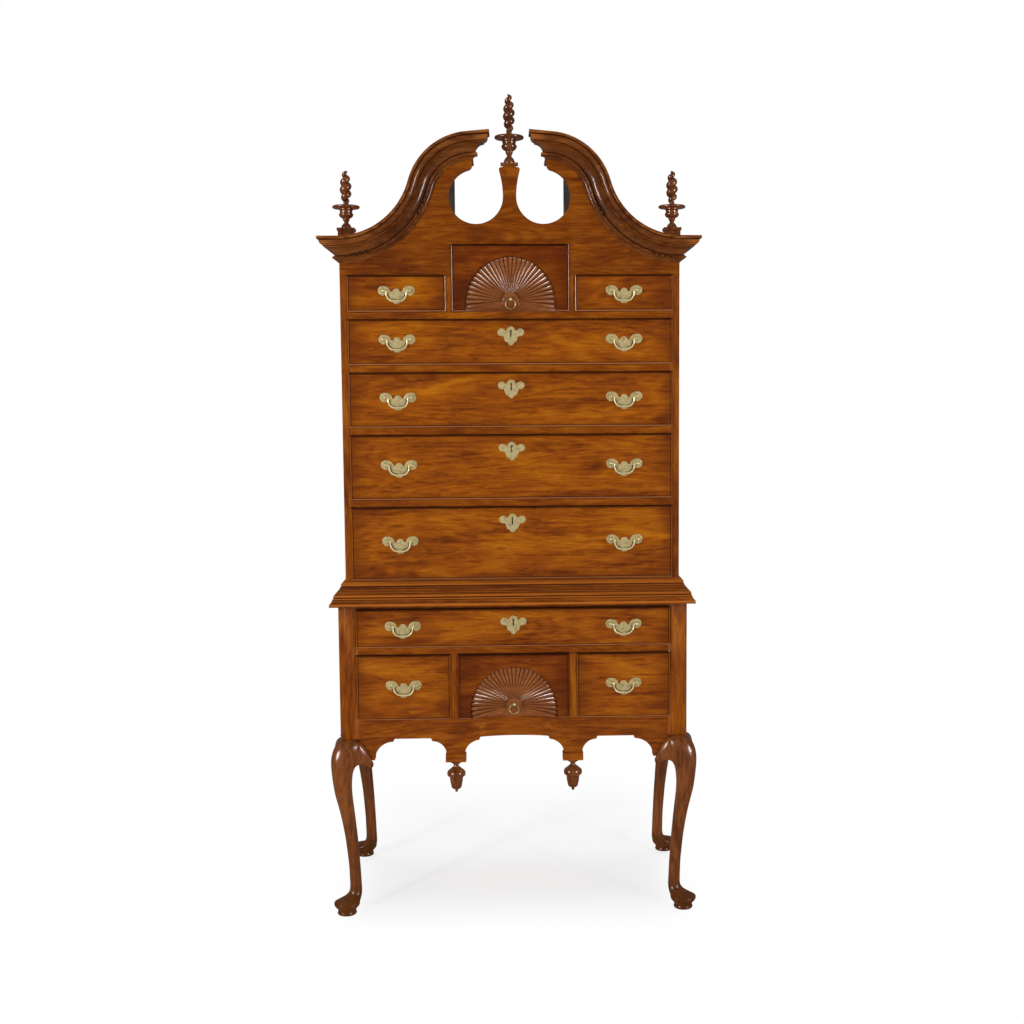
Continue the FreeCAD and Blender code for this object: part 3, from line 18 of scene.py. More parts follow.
import bmesh
import bpy
import numpy as np
from mathutils import Matrix, Vector
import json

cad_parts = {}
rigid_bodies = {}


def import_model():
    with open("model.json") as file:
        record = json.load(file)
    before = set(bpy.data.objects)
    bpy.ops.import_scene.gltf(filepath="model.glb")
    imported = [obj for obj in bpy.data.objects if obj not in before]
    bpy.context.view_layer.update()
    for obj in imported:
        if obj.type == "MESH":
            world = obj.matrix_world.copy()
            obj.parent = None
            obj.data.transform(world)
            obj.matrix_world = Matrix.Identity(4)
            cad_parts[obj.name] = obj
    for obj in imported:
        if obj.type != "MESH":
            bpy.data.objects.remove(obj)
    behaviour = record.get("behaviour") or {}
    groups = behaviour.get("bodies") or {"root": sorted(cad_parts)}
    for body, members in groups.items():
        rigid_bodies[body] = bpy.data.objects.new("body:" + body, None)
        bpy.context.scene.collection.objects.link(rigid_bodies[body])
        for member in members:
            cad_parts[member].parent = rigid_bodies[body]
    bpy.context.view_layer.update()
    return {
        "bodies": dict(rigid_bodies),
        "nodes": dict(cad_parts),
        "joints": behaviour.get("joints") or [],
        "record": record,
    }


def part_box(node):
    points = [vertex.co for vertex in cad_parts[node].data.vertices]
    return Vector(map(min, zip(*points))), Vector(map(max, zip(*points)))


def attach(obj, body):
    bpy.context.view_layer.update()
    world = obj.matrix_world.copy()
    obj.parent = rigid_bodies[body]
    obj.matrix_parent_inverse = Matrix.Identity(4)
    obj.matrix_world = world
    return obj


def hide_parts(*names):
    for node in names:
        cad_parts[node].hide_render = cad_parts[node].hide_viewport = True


LOG = logging.getLogger("highboy")
MM = 0.001
Point = tuple[float, float]
Span = tuple[float, float]
Spot = tuple[float, float, float]
Colour = tuple[float, float, float]
WHITE = (1.0, 1.0, 1.0)


# ---- Node graphs ----------------------------------------------------------------------
class Sock:
    """A node's output that Python arithmetic turns into Math nodes."""

    def __init__(self, graph: "Graph", socket: bpy.types.NodeSocket) -> None:
        """Keep the output and the graph that it belongs to."""
        self.graph = graph
        self.socket = socket

    def _calc(self, operation: str, *terms: "Term") -> "Sock":
        """Add a Math node that works on the given terms."""
        values = dict(enumerate(terms))
        return self.graph.node("ShaderNodeMath", {"operation": operation}, values)

    def __add__(self, other: "Term") -> "Sock":
        """Return the sum."""
        return self._calc("ADD", self, other)

    def __radd__(self, other: "Term") -> "Sock":
        """Return the sum."""
        return self._calc("ADD", other, self)

    def __sub__(self, other: "Term") -> "Sock":
        """Return the difference."""
        return self._calc("SUBTRACT", self, other)

    def __rsub__(self, other: "Term") -> "Sock":
        """Return the difference, the other way round."""
        return self._calc("SUBTRACT", other, self)

    def __mul__(self, other: "Term") -> "Sock":
        """Return the product."""
        return self._calc("MULTIPLY", self, other)

    def __rmul__(self, other: "Term") -> "Sock":
        """Return the product."""
        return self._calc("MULTIPLY", other, self)

    def __truediv__(self, other: "Term") -> "Sock":
        """Return the quotient."""
        return self._calc("DIVIDE", self, other)

    def __pow__(self, other: "Term") -> "Sock":
        """Return the power."""
        return self._calc("POWER", self, other)

    def least(self, other: "Term") -> "Sock":
        """Return the smaller of the two."""
        return self._calc("MINIMUM", self, other)

    def most(self, other: "Term") -> "Sock":
        """Return the larger of the two."""
        return self._calc("MAXIMUM", self, other)

    def sine(self) -> "Sock":
        """Return the sine of an angle in radians."""
        return self._calc("SINE", self)

    def cosine(self) -> "Sock":
        """Return the cosine of an angle in radians."""
        return self._calc("COSINE", self)

    def root(self) -> "Sock":
        """Return the square root."""
        return self._calc("SQRT", self)

    def rise(self, low: float, high: float) -> "Sock":
        """Return a smooth step from 0 at the low value to 1 at the high one."""
        settings = {"interpolation_type": "SMOOTHSTEP"}
        return self.graph.node("ShaderNodeMapRange", settings, {0: self, 1: low, 2: high})

    def fall(self, low: float, high: float) -> "Sock":
        """Return a smooth step from 1 at the low value to 0 at the high one."""
        return 1.0 - self.rise(low, high)

    def out(self, name: Union[str, int]) -> "Sock":
        """Return another output of the same node."""
        return Sock(self.graph, self.socket.node.outputs[name])


Term = Union[Sock, float]


@dataclass(frozen=True)
class Mark:
    """A kind of mark on wood or metal.

    It has so many waves to a metre along and across, so many finer layers with their
    strength, a bend, and its weight in the tone that it is a part of.
    """

    along: float
    across: float
    layers: float
    finer: float
    bend: float = 0.0
    weight: float = 1.0

    def weighed(self, value: Sock) -> Sock:
        """Return the mark's share of a tone, which is about 0 on the whole."""
        return (value - 0.5) * self.weight


@dataclass(frozen=True)
class Shade:
    """A shade's strength, and the distances between which it fades.

    With two distances it is full up to the first and gone from the second. With four it is
    a band: it starts, is full, begins to fade and is gone. It is drawn in a share of a
    wood's colour.
    """

    strength: float
    stops: tuple[float, ...]
    share: float = 1.0

    def over(self, distance: Sock) -> Sock:
        """Return the shade over a distance."""
        fade = distance.fall(*self.stops[-2:])
        if len(self.stops) == 4:
            fade = distance.rise(*self.stops[:2]) * fade
        return self.strength * fade

    def laid(self, g: "Graph", distance: Sock, colour: Sock, base: Colour) -> Sock:
        """Return a colour with the shade on it, drawn in its share of the base colour."""
        return g.blend(self.over(distance), colour, scaled(base, self.share))


class Graph:
    """A node tree that is filled through one method."""

    def __init__(self, tree: bpy.types.NodeTree) -> None:
        """Keep the tree."""
        self.tree = tree

    def node(self, kind: str, settings: Optional[dict] = None, values: Optional[dict] = None,
             output: Union[str, int] = 0) -> Sock:
        """Add a node.

        Args:
            kind: the node's type.
            settings: its properties, set first; "stops" holds a colour ramp's stops.
            values: numbers or links for its inputs, by name or place.
            output: the output to hand back.

        Returns:
            The chosen output.
        """
        made = self.tree.nodes.new(kind)
        for name, value in (settings or {}).items():
            if name == "stops":
                self._lay_stops(made.color_ramp.elements, value)
            else:
                setattr(made, name, value)
        for key, value in (values or {}).items():
            if isinstance(value, Sock):
                self.tree.links.new(value.socket, made.inputs[key])
            else:
                made.inputs[key].default_value = value
        return Sock(self, made.outputs[output] if len(made.outputs) else None)

    @staticmethod
    def _lay_stops(elements: bpy.types.ColorRampElements, stops: Sequence) -> None:
        """Give a colour ramp its stops."""
        while len(elements) < len(stops):
            elements.new(0.5)
        for element, (place, colour) in zip(elements, stops):
            element.position = place
            element.color = painted(colour)

    def vector(self, operation: str, *terms: object) -> Sock:
        """Add a Vector Math node that works on the given terms."""
        return self.node("ShaderNodeVectorMath", {"operation": operation}, dict(enumerate(terms)))

    def local(self) -> Sock:
        """Return the place in the piece's own space."""
        return self.node("ShaderNodeTexCoord", None, None, "Object")

    def stored(self, name: str, output: str = "Fac") -> Sock:
        """Return what is stored on the piece's points under a name."""
        return self.node("ShaderNodeAttribute", {"attribute_name": name}, None, output)

    def apart(self, vector: Sock, axis: str = "X") -> Sock:
        """Take a vector apart, and return one of its three numbers."""
        return self.node("ShaderNodeSeparateXYZ", None, {0: vector}, axis)

    def noise(self, place: Sock, mark: Mark) -> Sock:
        """Lay a mark over a place, as a value of about 0.5 on the whole."""
        where = self.vector("MULTIPLY", place, (mark.along, mark.across, mark.across))
        return self.node("ShaderNodeTexNoise", None, {
            "Vector": where, "Scale": 1.0, "Detail": mark.layers, "Roughness": mark.finer,
            "Distortion": mark.bend})

    def blend(self, amount: Term, first: object, second: object) -> Sock:
        """Mix two colours by an amount."""
        values = {0: amount, 6: painted(first), 7: painted(second)}
        return self.node("ShaderNodeMix", {"data_type": "RGBA"}, values, 2)

    def bump(self, height: Sock, strength: float, distance: float) -> Sock:
        """Turn a height into a normal."""
        return self.node("ShaderNodeBump", None,
                         {"Strength": strength, "Distance": distance, "Height": height})


def painted(colour: object) -> object:
    """Return a plain colour with its alpha, and anything else as it is."""
    return (*colour, 1.0) if isinstance(colour, tuple) else colour


def scaled(colour: Colour, share: float) -> Colour:
    """Return a colour at a share of its strength."""
    red, green, blue = colour
    return red * share, green * share, blue * share


def tinted(g: Graph, amount: Sock, tint: Span, colour: Sock, base: Colour) -> Sock:
    """Tint a colour by an amount: with a strength, and in a share of a base colour."""
    strength, share = tint
    return g.blend(amount * strength, colour, scaled(base, share))


# ---- Finishes -------------------------------------------------------------------------
@dataclass(frozen=True)
class Finish:
    """A finish with a name, made the first time that it is asked for."""

    name: str

    def material(self) -> bpy.types.Material:
        """Return the finish's material."""
        made = bpy.data.materials.get(self.name)
        if made is None:
            made = bpy.data.materials.new(self.name)
            made.use_nodes = True
            made.node_tree.nodes.clear()
            g = Graph(made.node_tree)
            g.node("ShaderNodeOutputMaterial", None, {"Surface": self.shader(g)})
        return made

    def shader(self, g: Graph) -> Sock:
        """Build the finish's shader."""
        raise NotImplementedError


class Grain(Enum):
    """Where a wood's grain comes from: its points' own cut, or a turn about the upright."""

    LAID = None
    SIDEWAYS = 0.0
    BACKWARDS = -math.pi / 2

    def place(self, g: Graph) -> Sock:
        """Return coordinates whose first axis runs along the grain."""
        if self is Grain.LAID:
            return g.stored("wood", "Vector")
        turn = (0.0, 0.0, self.value)
        return g.node("ShaderNodeMapping", None, {"Vector": g.local(), "Rotation": turn})


CLOUDS = Mark(4.0, 12.5, 3.0, 0.5, 0.8, 1.05)
RIPPLE = Mark(15.0, 70.0, 3.0, 0.6, 1.0, 0.85)
STREAKS = Mark(7.0, 150.0, 2.0, 0.6, 0.5, 0.58)
FIBRE = Mark(36.0, 720.0, 2.0, 0.6, 0.2, 0.35)
ARCHES = Mark(1.2, 7.5, 1.0, 0.4, 0.2)
RINGS, RING_WAVER, RING_WEIGHT = 170.0, 3.0, 0.055
FLECK = Mark(60.0, 300.0, 1.0, 0.5)
FLECK_EDGE, FLECK_WEIGHT = (0.60, 0.74), 0.11
TONE_STOPS = (0.18, 0.50, 0.82)
CLOUD_DULL, FIBRE_DULL = 0.22, 0.10
# Fine reeds that are only painted: a line of shade, with a line of highlight under it.
REED_PAINTED_SHADE = Shade(0.80, (-1.1 * MM, -0.4 * MM, 0.4 * MM, 1.1 * MM), 0.25)
REED_PAINTED_HIGHLIGHT = Shade(0.34, (-3.6 * MM, -2.2 * MM, -2.0 * MM, -1.2 * MM), 1.30)
# Mouldings pale where they stand proud, as wear and painted highlight, and darken where they lie deep, as
# dirt and painted shade.
RELIEF_STOPS, PROUD_WEAR_AND_HIGHLIGHT, DEEP_DIRT_AND_SHADE = (0.05, 0.8), (0.80, 1.45), (0.90, 0.22)
LOWER_STOPS, LOWER_SHARES, LOWER_STRENGTH, LOWER_STRAY = (0.25, 0.75), (0.62, 1.40), 0.80, 0.7
SCUFF_FROM, SCUFF, SCUFF_DULL = 0.45, (0.60, 0.35), 0.75
GROOVE_SHARE = 0.20
TARNISH = Mark(110.0, 110.0, 3.0, 0.6, 0.4, 0.7)
SPECK = Mark(900.0, 900.0, 2.0, 0.6, 0.0, 0.3)
CLEAR_STOPS, TARNISH_DULL, TARNISHED = (0.36, 0.62), 0.25, 0.6


@dataclass(frozen=True)
class Lip:
    """How a lipped front darkens by the distance from its edges, with light and shade painted on its lip.
    """

    ends: Shade = Shade(0.66, (-5.0 * MM, 62.0 * MM))
    sides: Shade = Shade(0.42, (0.0, 26.0 * MM))
    # A painted highlight on the lip's round.
    lip_highlight: Shade = Shade(0.30, (0.8 * MM, 1.4 * MM, 3.0 * MM, 3.8 * MM), 1.15)
    # A painted highlight along the bottom edge, in bottom_highlight_colour, for light thrown up from the
    # floor.
    foot: Shade = Shade(0.50, (3.0 * MM, 4.0 * MM))
    # Painted shade in the quirk behind the lip.
    quirk_shade: Shade = Shade(0.78, (3.6 * MM, 4.4 * MM, 5.6 * MM, 6.8 * MM))
    # A painted shadow in the gap at the front's outer edge.
    edge: Shade = Shade(0.75, (0.2 * MM, 1.0 * MM))
    # A painted shadow under the rail over the front's top.
    top: Shade = Shade(0.95, (3.0 * MM, 4.4 * MM))
    stray: Span = (90.0 * MM, 27.0 * MM)
    polished: Span = (3.0 * MM, 4.0 * MM)
    polish: float = 0.95
    # The colour of the painted highlight along the bottom edge.
    bottom_highlight_colour: Colour = (0.40, 0.17, 0.08)
    # How dark the painted shade and shadows are, as a share of the wood's dark colour.
    dark_share: float = 0.15

    def draw(self, g: Graph, wood: "Wood", colour: Sock, clouds: Sock) -> tuple[Sock, Sock]:
        """Darken a front at its ends, and paint highlights, shade and shadow along its lip and behind it.

        Args:
            g: the wood's graph.
            wood: the wood, for its colours and its gloss.
            colour: the front's colour so far.
            clouds: soft clouds that make the shade at the ends uneven.

        Returns:
            The front's colour, and the weight of its varnish.
        """
        margins = g.stored("margins", "Vector")
        left, over = g.apart(margins), margins.out("Alpha")
        ends, sides = left.least(left.out("Y")), left.out("Z").least(over)
        uneven = clouds - 0.5
        rim = self.ends.over(ends + uneven * self.stray[0]).most(
            self.sides.over(sides + uneven * self.stray[1]))
        colour = g.blend(rim, colour, wood.dark)
        near = ends.least(sides)
        # Painted highlights: on the lip's round, and along the bottom edge.
        colour = self.lip_highlight.laid(g, near, colour, wood.light)
        colour = self.foot.laid(g, left.out("Z"), colour, self.bottom_highlight_colour)
        # Painted shade in the quirk, and painted shadow at the outer edge and under the top.
        dark = self.quirk_shade.over(near).most(self.edge.over(near)).most(self.top.over(over))
        coat = wood.gloss + (self.polish - wood.gloss) * near.fall(*self.polished)
        return g.blend(dark, colour, scaled(wood.dark, self.dark_share)), coat


@dataclass(frozen=True)
class Wood(Finish):
    """A wood and its varnish.

    Its three colours follow its tone. A lipped or grooved wood, and one with wear_and_shade,
    also shades by what is stored on its points: painted highlight and shade along a lip, and
    wear and painted highlight where a moulding stands proud, dirt and painted shade where it
    lies deep. painted_reeds are the heights of fine lines of painted shade and highlight. Under
    lit_from the wood goes over to its lower colour, and up to scuffed it is dark and dull.
    """

    dark: Colour
    middle: Colour
    light: Colour
    gloss: float = 0.6
    roughness: float = 0.34
    varnish: float = 0.11
    figure: float = 1.0
    lipped: bool = False
    wear_and_shade: bool = False
    grooved: bool = False
    painted_reeds: tuple[float, ...] = ()
    lit_from: float = 0.0
    fade: float = 0.14
    lower: Colour = (0.060, 0.012, 0.0015)
    scuffed: float = 0.0
    grain: Grain = Grain.LAID

    def shader(self, g: Graph) -> Sock:
        """Build the wood's shader, from its tone up to its varnish."""
        tone, fibre, clouds = self._marks(g, self.grain.place(g))
        stops = list(zip(TONE_STOPS, (self.dark, self.middle, self.light)))
        colour = g.node("ShaderNodeValToRGB", {"stops": stops}, {0: tone}, "Color")
        coat = self.gloss
        if self.lipped:
            colour, coat = Lip().draw(g, self, colour, clouds)
        if self.wear_and_shade:
            colour = self._wear_and_shade(g, colour)
        for height in self.painted_reeds:
            colour = self._painted_reed(g, colour, height)
        if self.lit_from:
            height = g.apart(g.local(), "Z") + (clouds - 0.5) * LOWER_STRAY * self.fade
            colour = self._lower(g, colour, tone, height)
            if self.scuffed:
                foot = height.fall(SCUFF_FROM * self.scuffed, self.scuffed)
                colour = tinted(g, foot, SCUFF, colour, self.lower)
                coat = coat * (1.0 - SCUFF_DULL * foot)
        if self.grooved:
            colour = g.blend(g.stored("deep"), colour, scaled(self.dark, GROOVE_SHARE))
        dull = self.roughness + CLOUD_DULL * (0.5 - clouds) + FIBRE_DULL * (fibre - 0.5)
        return g.node("ShaderNodeBsdfPrincipled", None, {
            "Base Color": colour, "Roughness": dull, "IOR": 1.46, "Specular IOR Level": 0.10,
            "Normal": g.bump(fibre + 0.5 * tone, 0.12, 0.3 * MM), "Coat Weight": coat,
            "Coat Roughness": self.varnish, "Coat IOR": 1.5})

    def _marks(self, g: Graph, place: Sock) -> tuple[Sock, Sock, Sock]:
        """Return the wood's tone, its fine fibres and its soft clouds."""
        clouds, ripple, streaks, fibre, arches = (
            g.noise(place, mark) for mark in (CLOUDS, RIPPLE, STREAKS, FIBRE, ARCHES))
        rings = (arches * RINGS + ripple * RING_WAVER).sine()
        fleck = g.noise(place, FLECK).rise(*FLECK_EDGE)
        tone = CLOUDS.weighed(clouds) + RIPPLE.weighed(ripple) + STREAKS.weighed(streaks)
        tone = tone + rings * RING_WEIGHT + FIBRE.weighed(fibre)
        return 0.5 + (tone - fleck * FLECK_WEIGHT) * self.figure, fibre, clouds

    def _lower(self, g: Graph, colour: Sock, tone: Sock, height: Sock) -> Sock:
        """Go over to the lower colour, which follows the tone, under a height."""
        ends = [scaled(self.lower, share) for share in LOWER_SHARES]
        lower = g.blend(tone.rise(*LOWER_STOPS), *ends)
        under = height.fall(self.lit_from - self.fade, self.lit_from)
        return g.blend(LOWER_STRENGTH * under, colour, lower)

    def _wear_and_shade(self, g: Graph, colour: Sock) -> Sock:
        """Pale what stands proud in a moulding, as wear and painted highlight, and darken what lies deep,
        as dirt and painted shade.
        """
        wear = g.stored("wear")
        colour = tinted(g, wear.rise(*RELIEF_STOPS), PROUD_WEAR_AND_HIGHLIGHT, colour, self.light)
        return tinted(g, (0.0 - wear).rise(*RELIEF_STOPS), DEEP_DIRT_AND_SHADE, colour, self.dark)

    def _painted_reed(self, g: Graph, colour: Sock, height: float) -> Sock:
        """Paint one fine reed that the shape lacks: a line of painted shade at a height, with a line of
        painted highlight under it.
        """
        over = g.apart(g.local(), "Z") - height
        colour = REED_PAINTED_HIGHLIGHT.laid(g, over, colour, self.light)
        return REED_PAINTED_SHADE.laid(g, over, colour, self.dark)


@dataclass(frozen=True)
class Brass(Finish):
    """Old brass: its clean colour, its tarnish, how bare and how dull it is."""

    clean: Colour
    tarnish: Colour
    bare: float
    roughness: float = 0.27

    def shader(self, g: Graph) -> Sock:
        """Build the brass's shader, clean where its tarnish is rubbed off."""
        cloud, speck = (g.noise(g.local(), mark) for mark in (TARNISH, SPECK))
        clear = (cloud * TARNISH.weight + speck * SPECK.weight).rise(*CLEAR_STOPS)
        return g.node("ShaderNodeBsdfPrincipled", None, {
            "Base Color": g.blend(clear, self.tarnish, self.clean),
            "Metallic": self.bare * (TARNISHED + (1.0 - TARNISHED) * clear),
            "Roughness": self.roughness + TARNISH_DULL * (1.0 - clear),
            "Normal": g.bump(cloud + 0.3 * speck, 0.22, 0.4 * MM)})


@dataclass(frozen=True)
class PaleFloor(Finish):
    """A pale floor, a little dimmer under the piece than all round it: a painted shadow."""

    colour: Colour = (0.895, 0.910, 0.930)
    sideways: Span = (0.34, 0.54)
    backwards: Span = (0.50, 1.15)
    forwards: Span = (0.0, 0.42)
    # The glow's strength under the piece, dimmed there as a painted shadow.
    glow: float = 0.93
    share: float = 0.58

    def shader(self, g: Graph) -> Sock:
        """Mix a matt floor, which takes the real shadow, with a glow that grows outwards; its dimmer
        middle is a painted shadow.
        """
        place = g.local()
        wide, deep = g.apart(g.vector("ABSOLUTE", place)), g.apart(place, "Y")
        under = wide.fall(*self.sideways) * deep.fall(*self.backwards)
        away = 1.0 - under * (0.0 - deep).fall(*self.forwards)
        matt = g.node("ShaderNodeBsdfDiffuse", None, {"Color": painted(self.colour)})
        glow = g.node("ShaderNodeEmission", None, {
            "Color": painted(WHITE), "Strength": self.glow + (1.0 - self.glow) * away})
        share = self.share + (1.0 - self.share) * away
        return g.node("ShaderNodeMixShader", None, {0: share, 1: matt, 2: glow})


CHERRY = Wood("cherry_case", (0.115, 0.022, 0.0010), (0.225, 0.050, 0.0016),
              (0.340, 0.098, 0.0040), gloss=0.12, lit_from=0.44)
SCROLL = Wood("cherry_scroll_board", (0.095, 0.018, 0.0010), (0.185, 0.041, 0.0016),
              (0.285, 0.080, 0.0036), gloss=0.12)
FRONTS = Wood("cherry_fronts", (0.112, 0.020, 0.0010), (0.272, 0.064, 0.0015),
              (0.415, 0.128, 0.0036), gloss=0.12, figure=0.90, lipped=True)
FAN_FRONTS = Wood("cherry_fan_fronts", (0.080, 0.013, 0.0010), (0.150, 0.028, 0.0014),
                  (0.240, 0.058, 0.0030), gloss=0.12, lipped=True)
MOULDED = Wood("cherry_mouldings", (0.090, 0.018, 0.0018), (0.190, 0.044, 0.0040),
               (0.320, 0.090, 0.0070), gloss=0.40, figure=0.8, wear_and_shade=True,
               painted_reeds=(0.8630, 0.8768, 0.8900))
CORNICE = Wood("cherry_cornice", (0.062, 0.014, 0.0026), (0.130, 0.035, 0.0064),
               (0.230, 0.072, 0.0130), gloss=0.40, figure=0.8, wear_and_shade=True)
CARVED = Wood("cherry_carved", (0.120, 0.030, 0.0075), (0.235, 0.070, 0.0180),
              (0.360, 0.125, 0.0360), gloss=1.0, roughness=0.27, figure=0.6, grooved=True,
              varnish=0.14)
TURNED = Wood("cherry_turned", (0.065, 0.017, 0.0055), (0.145, 0.041, 0.0110),
              (0.250, 0.080, 0.0200), gloss=1.0, roughness=0.28, figure=0.9, varnish=0.16)
LEGS = Wood("cherry_legs", (0.145, 0.028, 0.0010), (0.275, 0.062, 0.0018),
            (0.395, 0.115, 0.0042), gloss=1.0, roughness=0.30, lit_from=0.485, fade=0.006,
            lower=(0.140, 0.041, 0.0098), scuffed=0.085, varnish=0.24)
# Raw inner wood, its colour darkened as painted shade for the dim inside of the piece.
RAW_PAINTED_SHADE = Wood("raw_inner_boards_painted_shade", (0.034, 0.023, 0.0160), (0.064, 0.045, 0.0320),
           (0.105, 0.076, 0.0540), gloss=0.0, roughness=0.85)
DEAL = Wood("pale_deal", (0.30, 0.165, 0.060), (0.46, 0.285, 0.125), (0.60, 0.410, 0.210),
            gloss=0.0, roughness=0.62)
DEAL_BACK = Wood("pale_deal_boards", (0.16, 0.085, 0.036), (0.27, 0.155, 0.068),
                 (0.38, 0.235, 0.110), gloss=0.0, roughness=0.70, grain=Grain.SIDEWAYS)
DEAL_RUNNERS = Wood("pale_deal_runners", (0.28, 0.150, 0.056), (0.42, 0.255, 0.110),
                    (0.55, 0.370, 0.185), gloss=0.0, roughness=0.66, grain=Grain.BACKWARDS)
OLD_BRASS = Brass("old_brass", (0.710, 0.580, 0.275), (0.350, 0.262, 0.105), 0.40)
RUBBED_BRASS = Brass("rubbed_brass", (0.930, 0.810, 0.470), (0.660, 0.530, 0.250), 0.42, 0.22)
DULL_BRASS = Brass("dull_brass", (0.560, 0.400, 0.170), (0.200, 0.120, 0.045), 0.50, 0.24)
# A dark finish for the painted shadow that each bail casts on its plate.
PAINTED_SHADOW = Brass("painted_bail_shadow", (0.060, 0.038, 0.0100), (0.030, 0.019, 0.0050), 0.20, 0.60)


# ---- Mesh work ------------------------------------------------------------------------
def new_piece(name: str, verts: Sequence, faces: Sequence) -> bpy.types.Object:
    """Make a mesh object from points and faces, with its faces turned outwards."""
    mesh = bpy.data.meshes.new(name)
    mesh.from_pydata([tuple(v) for v in verts], [], [tuple(f) for f in faces])
    return tidy(bpy.data.objects.new(name, mesh))


@contextmanager
def opened(mesh: bpy.types.Mesh) -> Iterator[bmesh.types.BMesh]:
    """Open a mesh for work, and store it when the work is done."""
    work = bmesh.new()
    work.from_mesh(mesh)
    yield work
    work.to_mesh(mesh)
    work.free()


def tidy(piece: bpy.types.Object, merge: float = 1e-6) -> bpy.types.Object:
    """Link a piece, merge its doubles and point its faces outwards."""
    if piece.name not in bpy.context.scene.collection.objects:
        bpy.context.scene.collection.objects.link(piece)
    with opened(piece.data) as work:
        bmesh.ops.remove_doubles(work, verts=work.verts, dist=merge)
        bmesh.ops.recalc_face_normals(work, faces=work.faces)
    return piece


def smooth(piece: bpy.types.Object, angle: float = 32.0) -> bpy.types.Object:
    """Shade a piece smooth, but for edges sharper than an angle in degrees."""
    piece.data.shade_smooth()
    piece.data.set_sharp_from_angle(angle=math.radians(angle))
    return piece


def dress(piece: bpy.types.Object, *finishes: Finish) -> bpy.types.Object:
    """Give a piece its finishes, in place of any that it has."""
    piece.data.materials.clear()
    for finish in finishes:
        piece.data.materials.append(finish.material())
    return piece


def baked(piece: bpy.types.Object) -> bpy.types.Object:
    """Turn a piece's modifiers into plain mesh."""
    graph = bpy.context.evaluated_depsgraph_get()
    mesh = bpy.data.meshes.new_from_object(piece.evaluated_get(graph), preserve_all_data_layers=True,
                                           depsgraph=graph)
    piece.modifiers.clear()
    piece.data = mesh
    return piece


class Keep(Enum):
    """Which side of a level is kept."""

    OVER = -1.0
    UNDER = 1.0


def cut_level(piece: bpy.types.Object, level: float, keep: Keep) -> bpy.types.Object:
    """Cut a piece off at a level, and close the cut."""
    with opened(piece.data) as work:
        cut = bmesh.ops.bisect_plane(work, geom=work.verts[:] + work.edges[:] + work.faces[:],
                                     plane_co=(0, 0, level), plane_no=(0, 0, keep.value),
                                     clear_outer=True)
        edges = [item for item in cut["geom_cut"] if isinstance(item, bmesh.types.BMEdge)]
        bmesh.ops.holes_fill(work, edges=edges, sides=0)
        bmesh.ops.recalc_face_normals(work, faces=work.faces)
    return piece


def joined(name: str, pieces: Sequence[bpy.types.Object]) -> bpy.types.Object:
    """Join plain pieces into one, keeping each one's own material.

    Args:
        name: the new piece's name.
        pieces: what is joined; these are used up.

    Returns:
        The new piece.
    """
    whole = bpy.data.meshes.new(name)
    slots: list[bpy.types.Material] = []
    work = bmesh.new()
    for piece in pieces:
        start = len(work.faces)
        local = list(piece.data.materials)
        for material in local:
            if material not in slots:
                slots.append(material)
        work.from_mesh(piece.data)
        work.faces.ensure_lookup_table()
        for face in work.faces[start:]:
            if local:
                face.material_index = slots.index(local[min(face.material_index, len(local) - 1)])
    work.to_mesh(whole)
    work.free()
    for material in slots:
        whole.materials.append(material)
    for piece in pieces:
        bpy.data.objects.remove(piece)
    made = bpy.data.objects.new(name, whole)
    bpy.context.scene.collection.objects.link(made)
    return made


def strips(rings: Sequence[Sequence[int]]) -> list[tuple[int, ...]]:
    """Return the faces between rings of points; a ring of one point is a pole."""
    faces: list[tuple[int, ...]] = []
    for low, high in zip(rings, rings[1:]):
        count = max(len(low), len(high))
        for step in range(count):
            after = (step + 1) % count
            if len(low) == 1 and len(high) == 1:
                continue
            if len(low) == 1:
                faces.append((low[0], high[after], high[step]))
            elif len(high) == 1:
                faces.append((low[step], low[after], high[0]))
            else:
                faces.append((low[step], low[after], high[after], high[step]))
    return faces


def lofted(name: str, rows: Sequence[Sequence], capped: bool = False,
           looped: bool = False) -> bpy.types.Object:
    """Skin rows of points, each of which runs back to its start.

    Args:
        name: the piece's name.
        rows: the points; a row of one point is a pole.
        capped: whether the first and the last row are closed by a face.
        looped: whether the last row joins the first.

    Returns:
        The skinned piece.
    """
    ends = accumulate(len(row) for row in rows)
    rings = [range(end - len(row), end) for end, row in zip(ends, rows)]
    faces = strips(rings + rings[:1] if looped else rings)
    if capped:
        faces += [tuple(rings[0]), tuple(reversed(rings[-1]))]
    return new_piece(name, [spot for row in rows for spot in row], faces)


def round_turn(count: int) -> list[float]:
    """Return the angles of a full turn in so many steps."""
    return [2 * math.pi * step / count for step in range(count)]


def turned(name: str, profile: Sequence[Point], at: Vector, around: int = 48) -> bpy.types.Object:
    """Turn an outline of radius and height about an upright axis.

    Args:
        name: the piece's name.
        profile: (radius, height) from the bottom up; its ends lie on the axis.
        at: where the axis stands.
        around: how many sides the turning has.

    Returns:
        The turned piece.
    """
    rows = []
    for radius, height in profile:
        angles = round_turn(around) if radius > 1e-7 else [0.0]
        rows.append([(at.x + radius * math.cos(angle), at.y + radius * math.sin(angle),
                      at.z + height) for angle in angles])
    return lofted(name, rows)


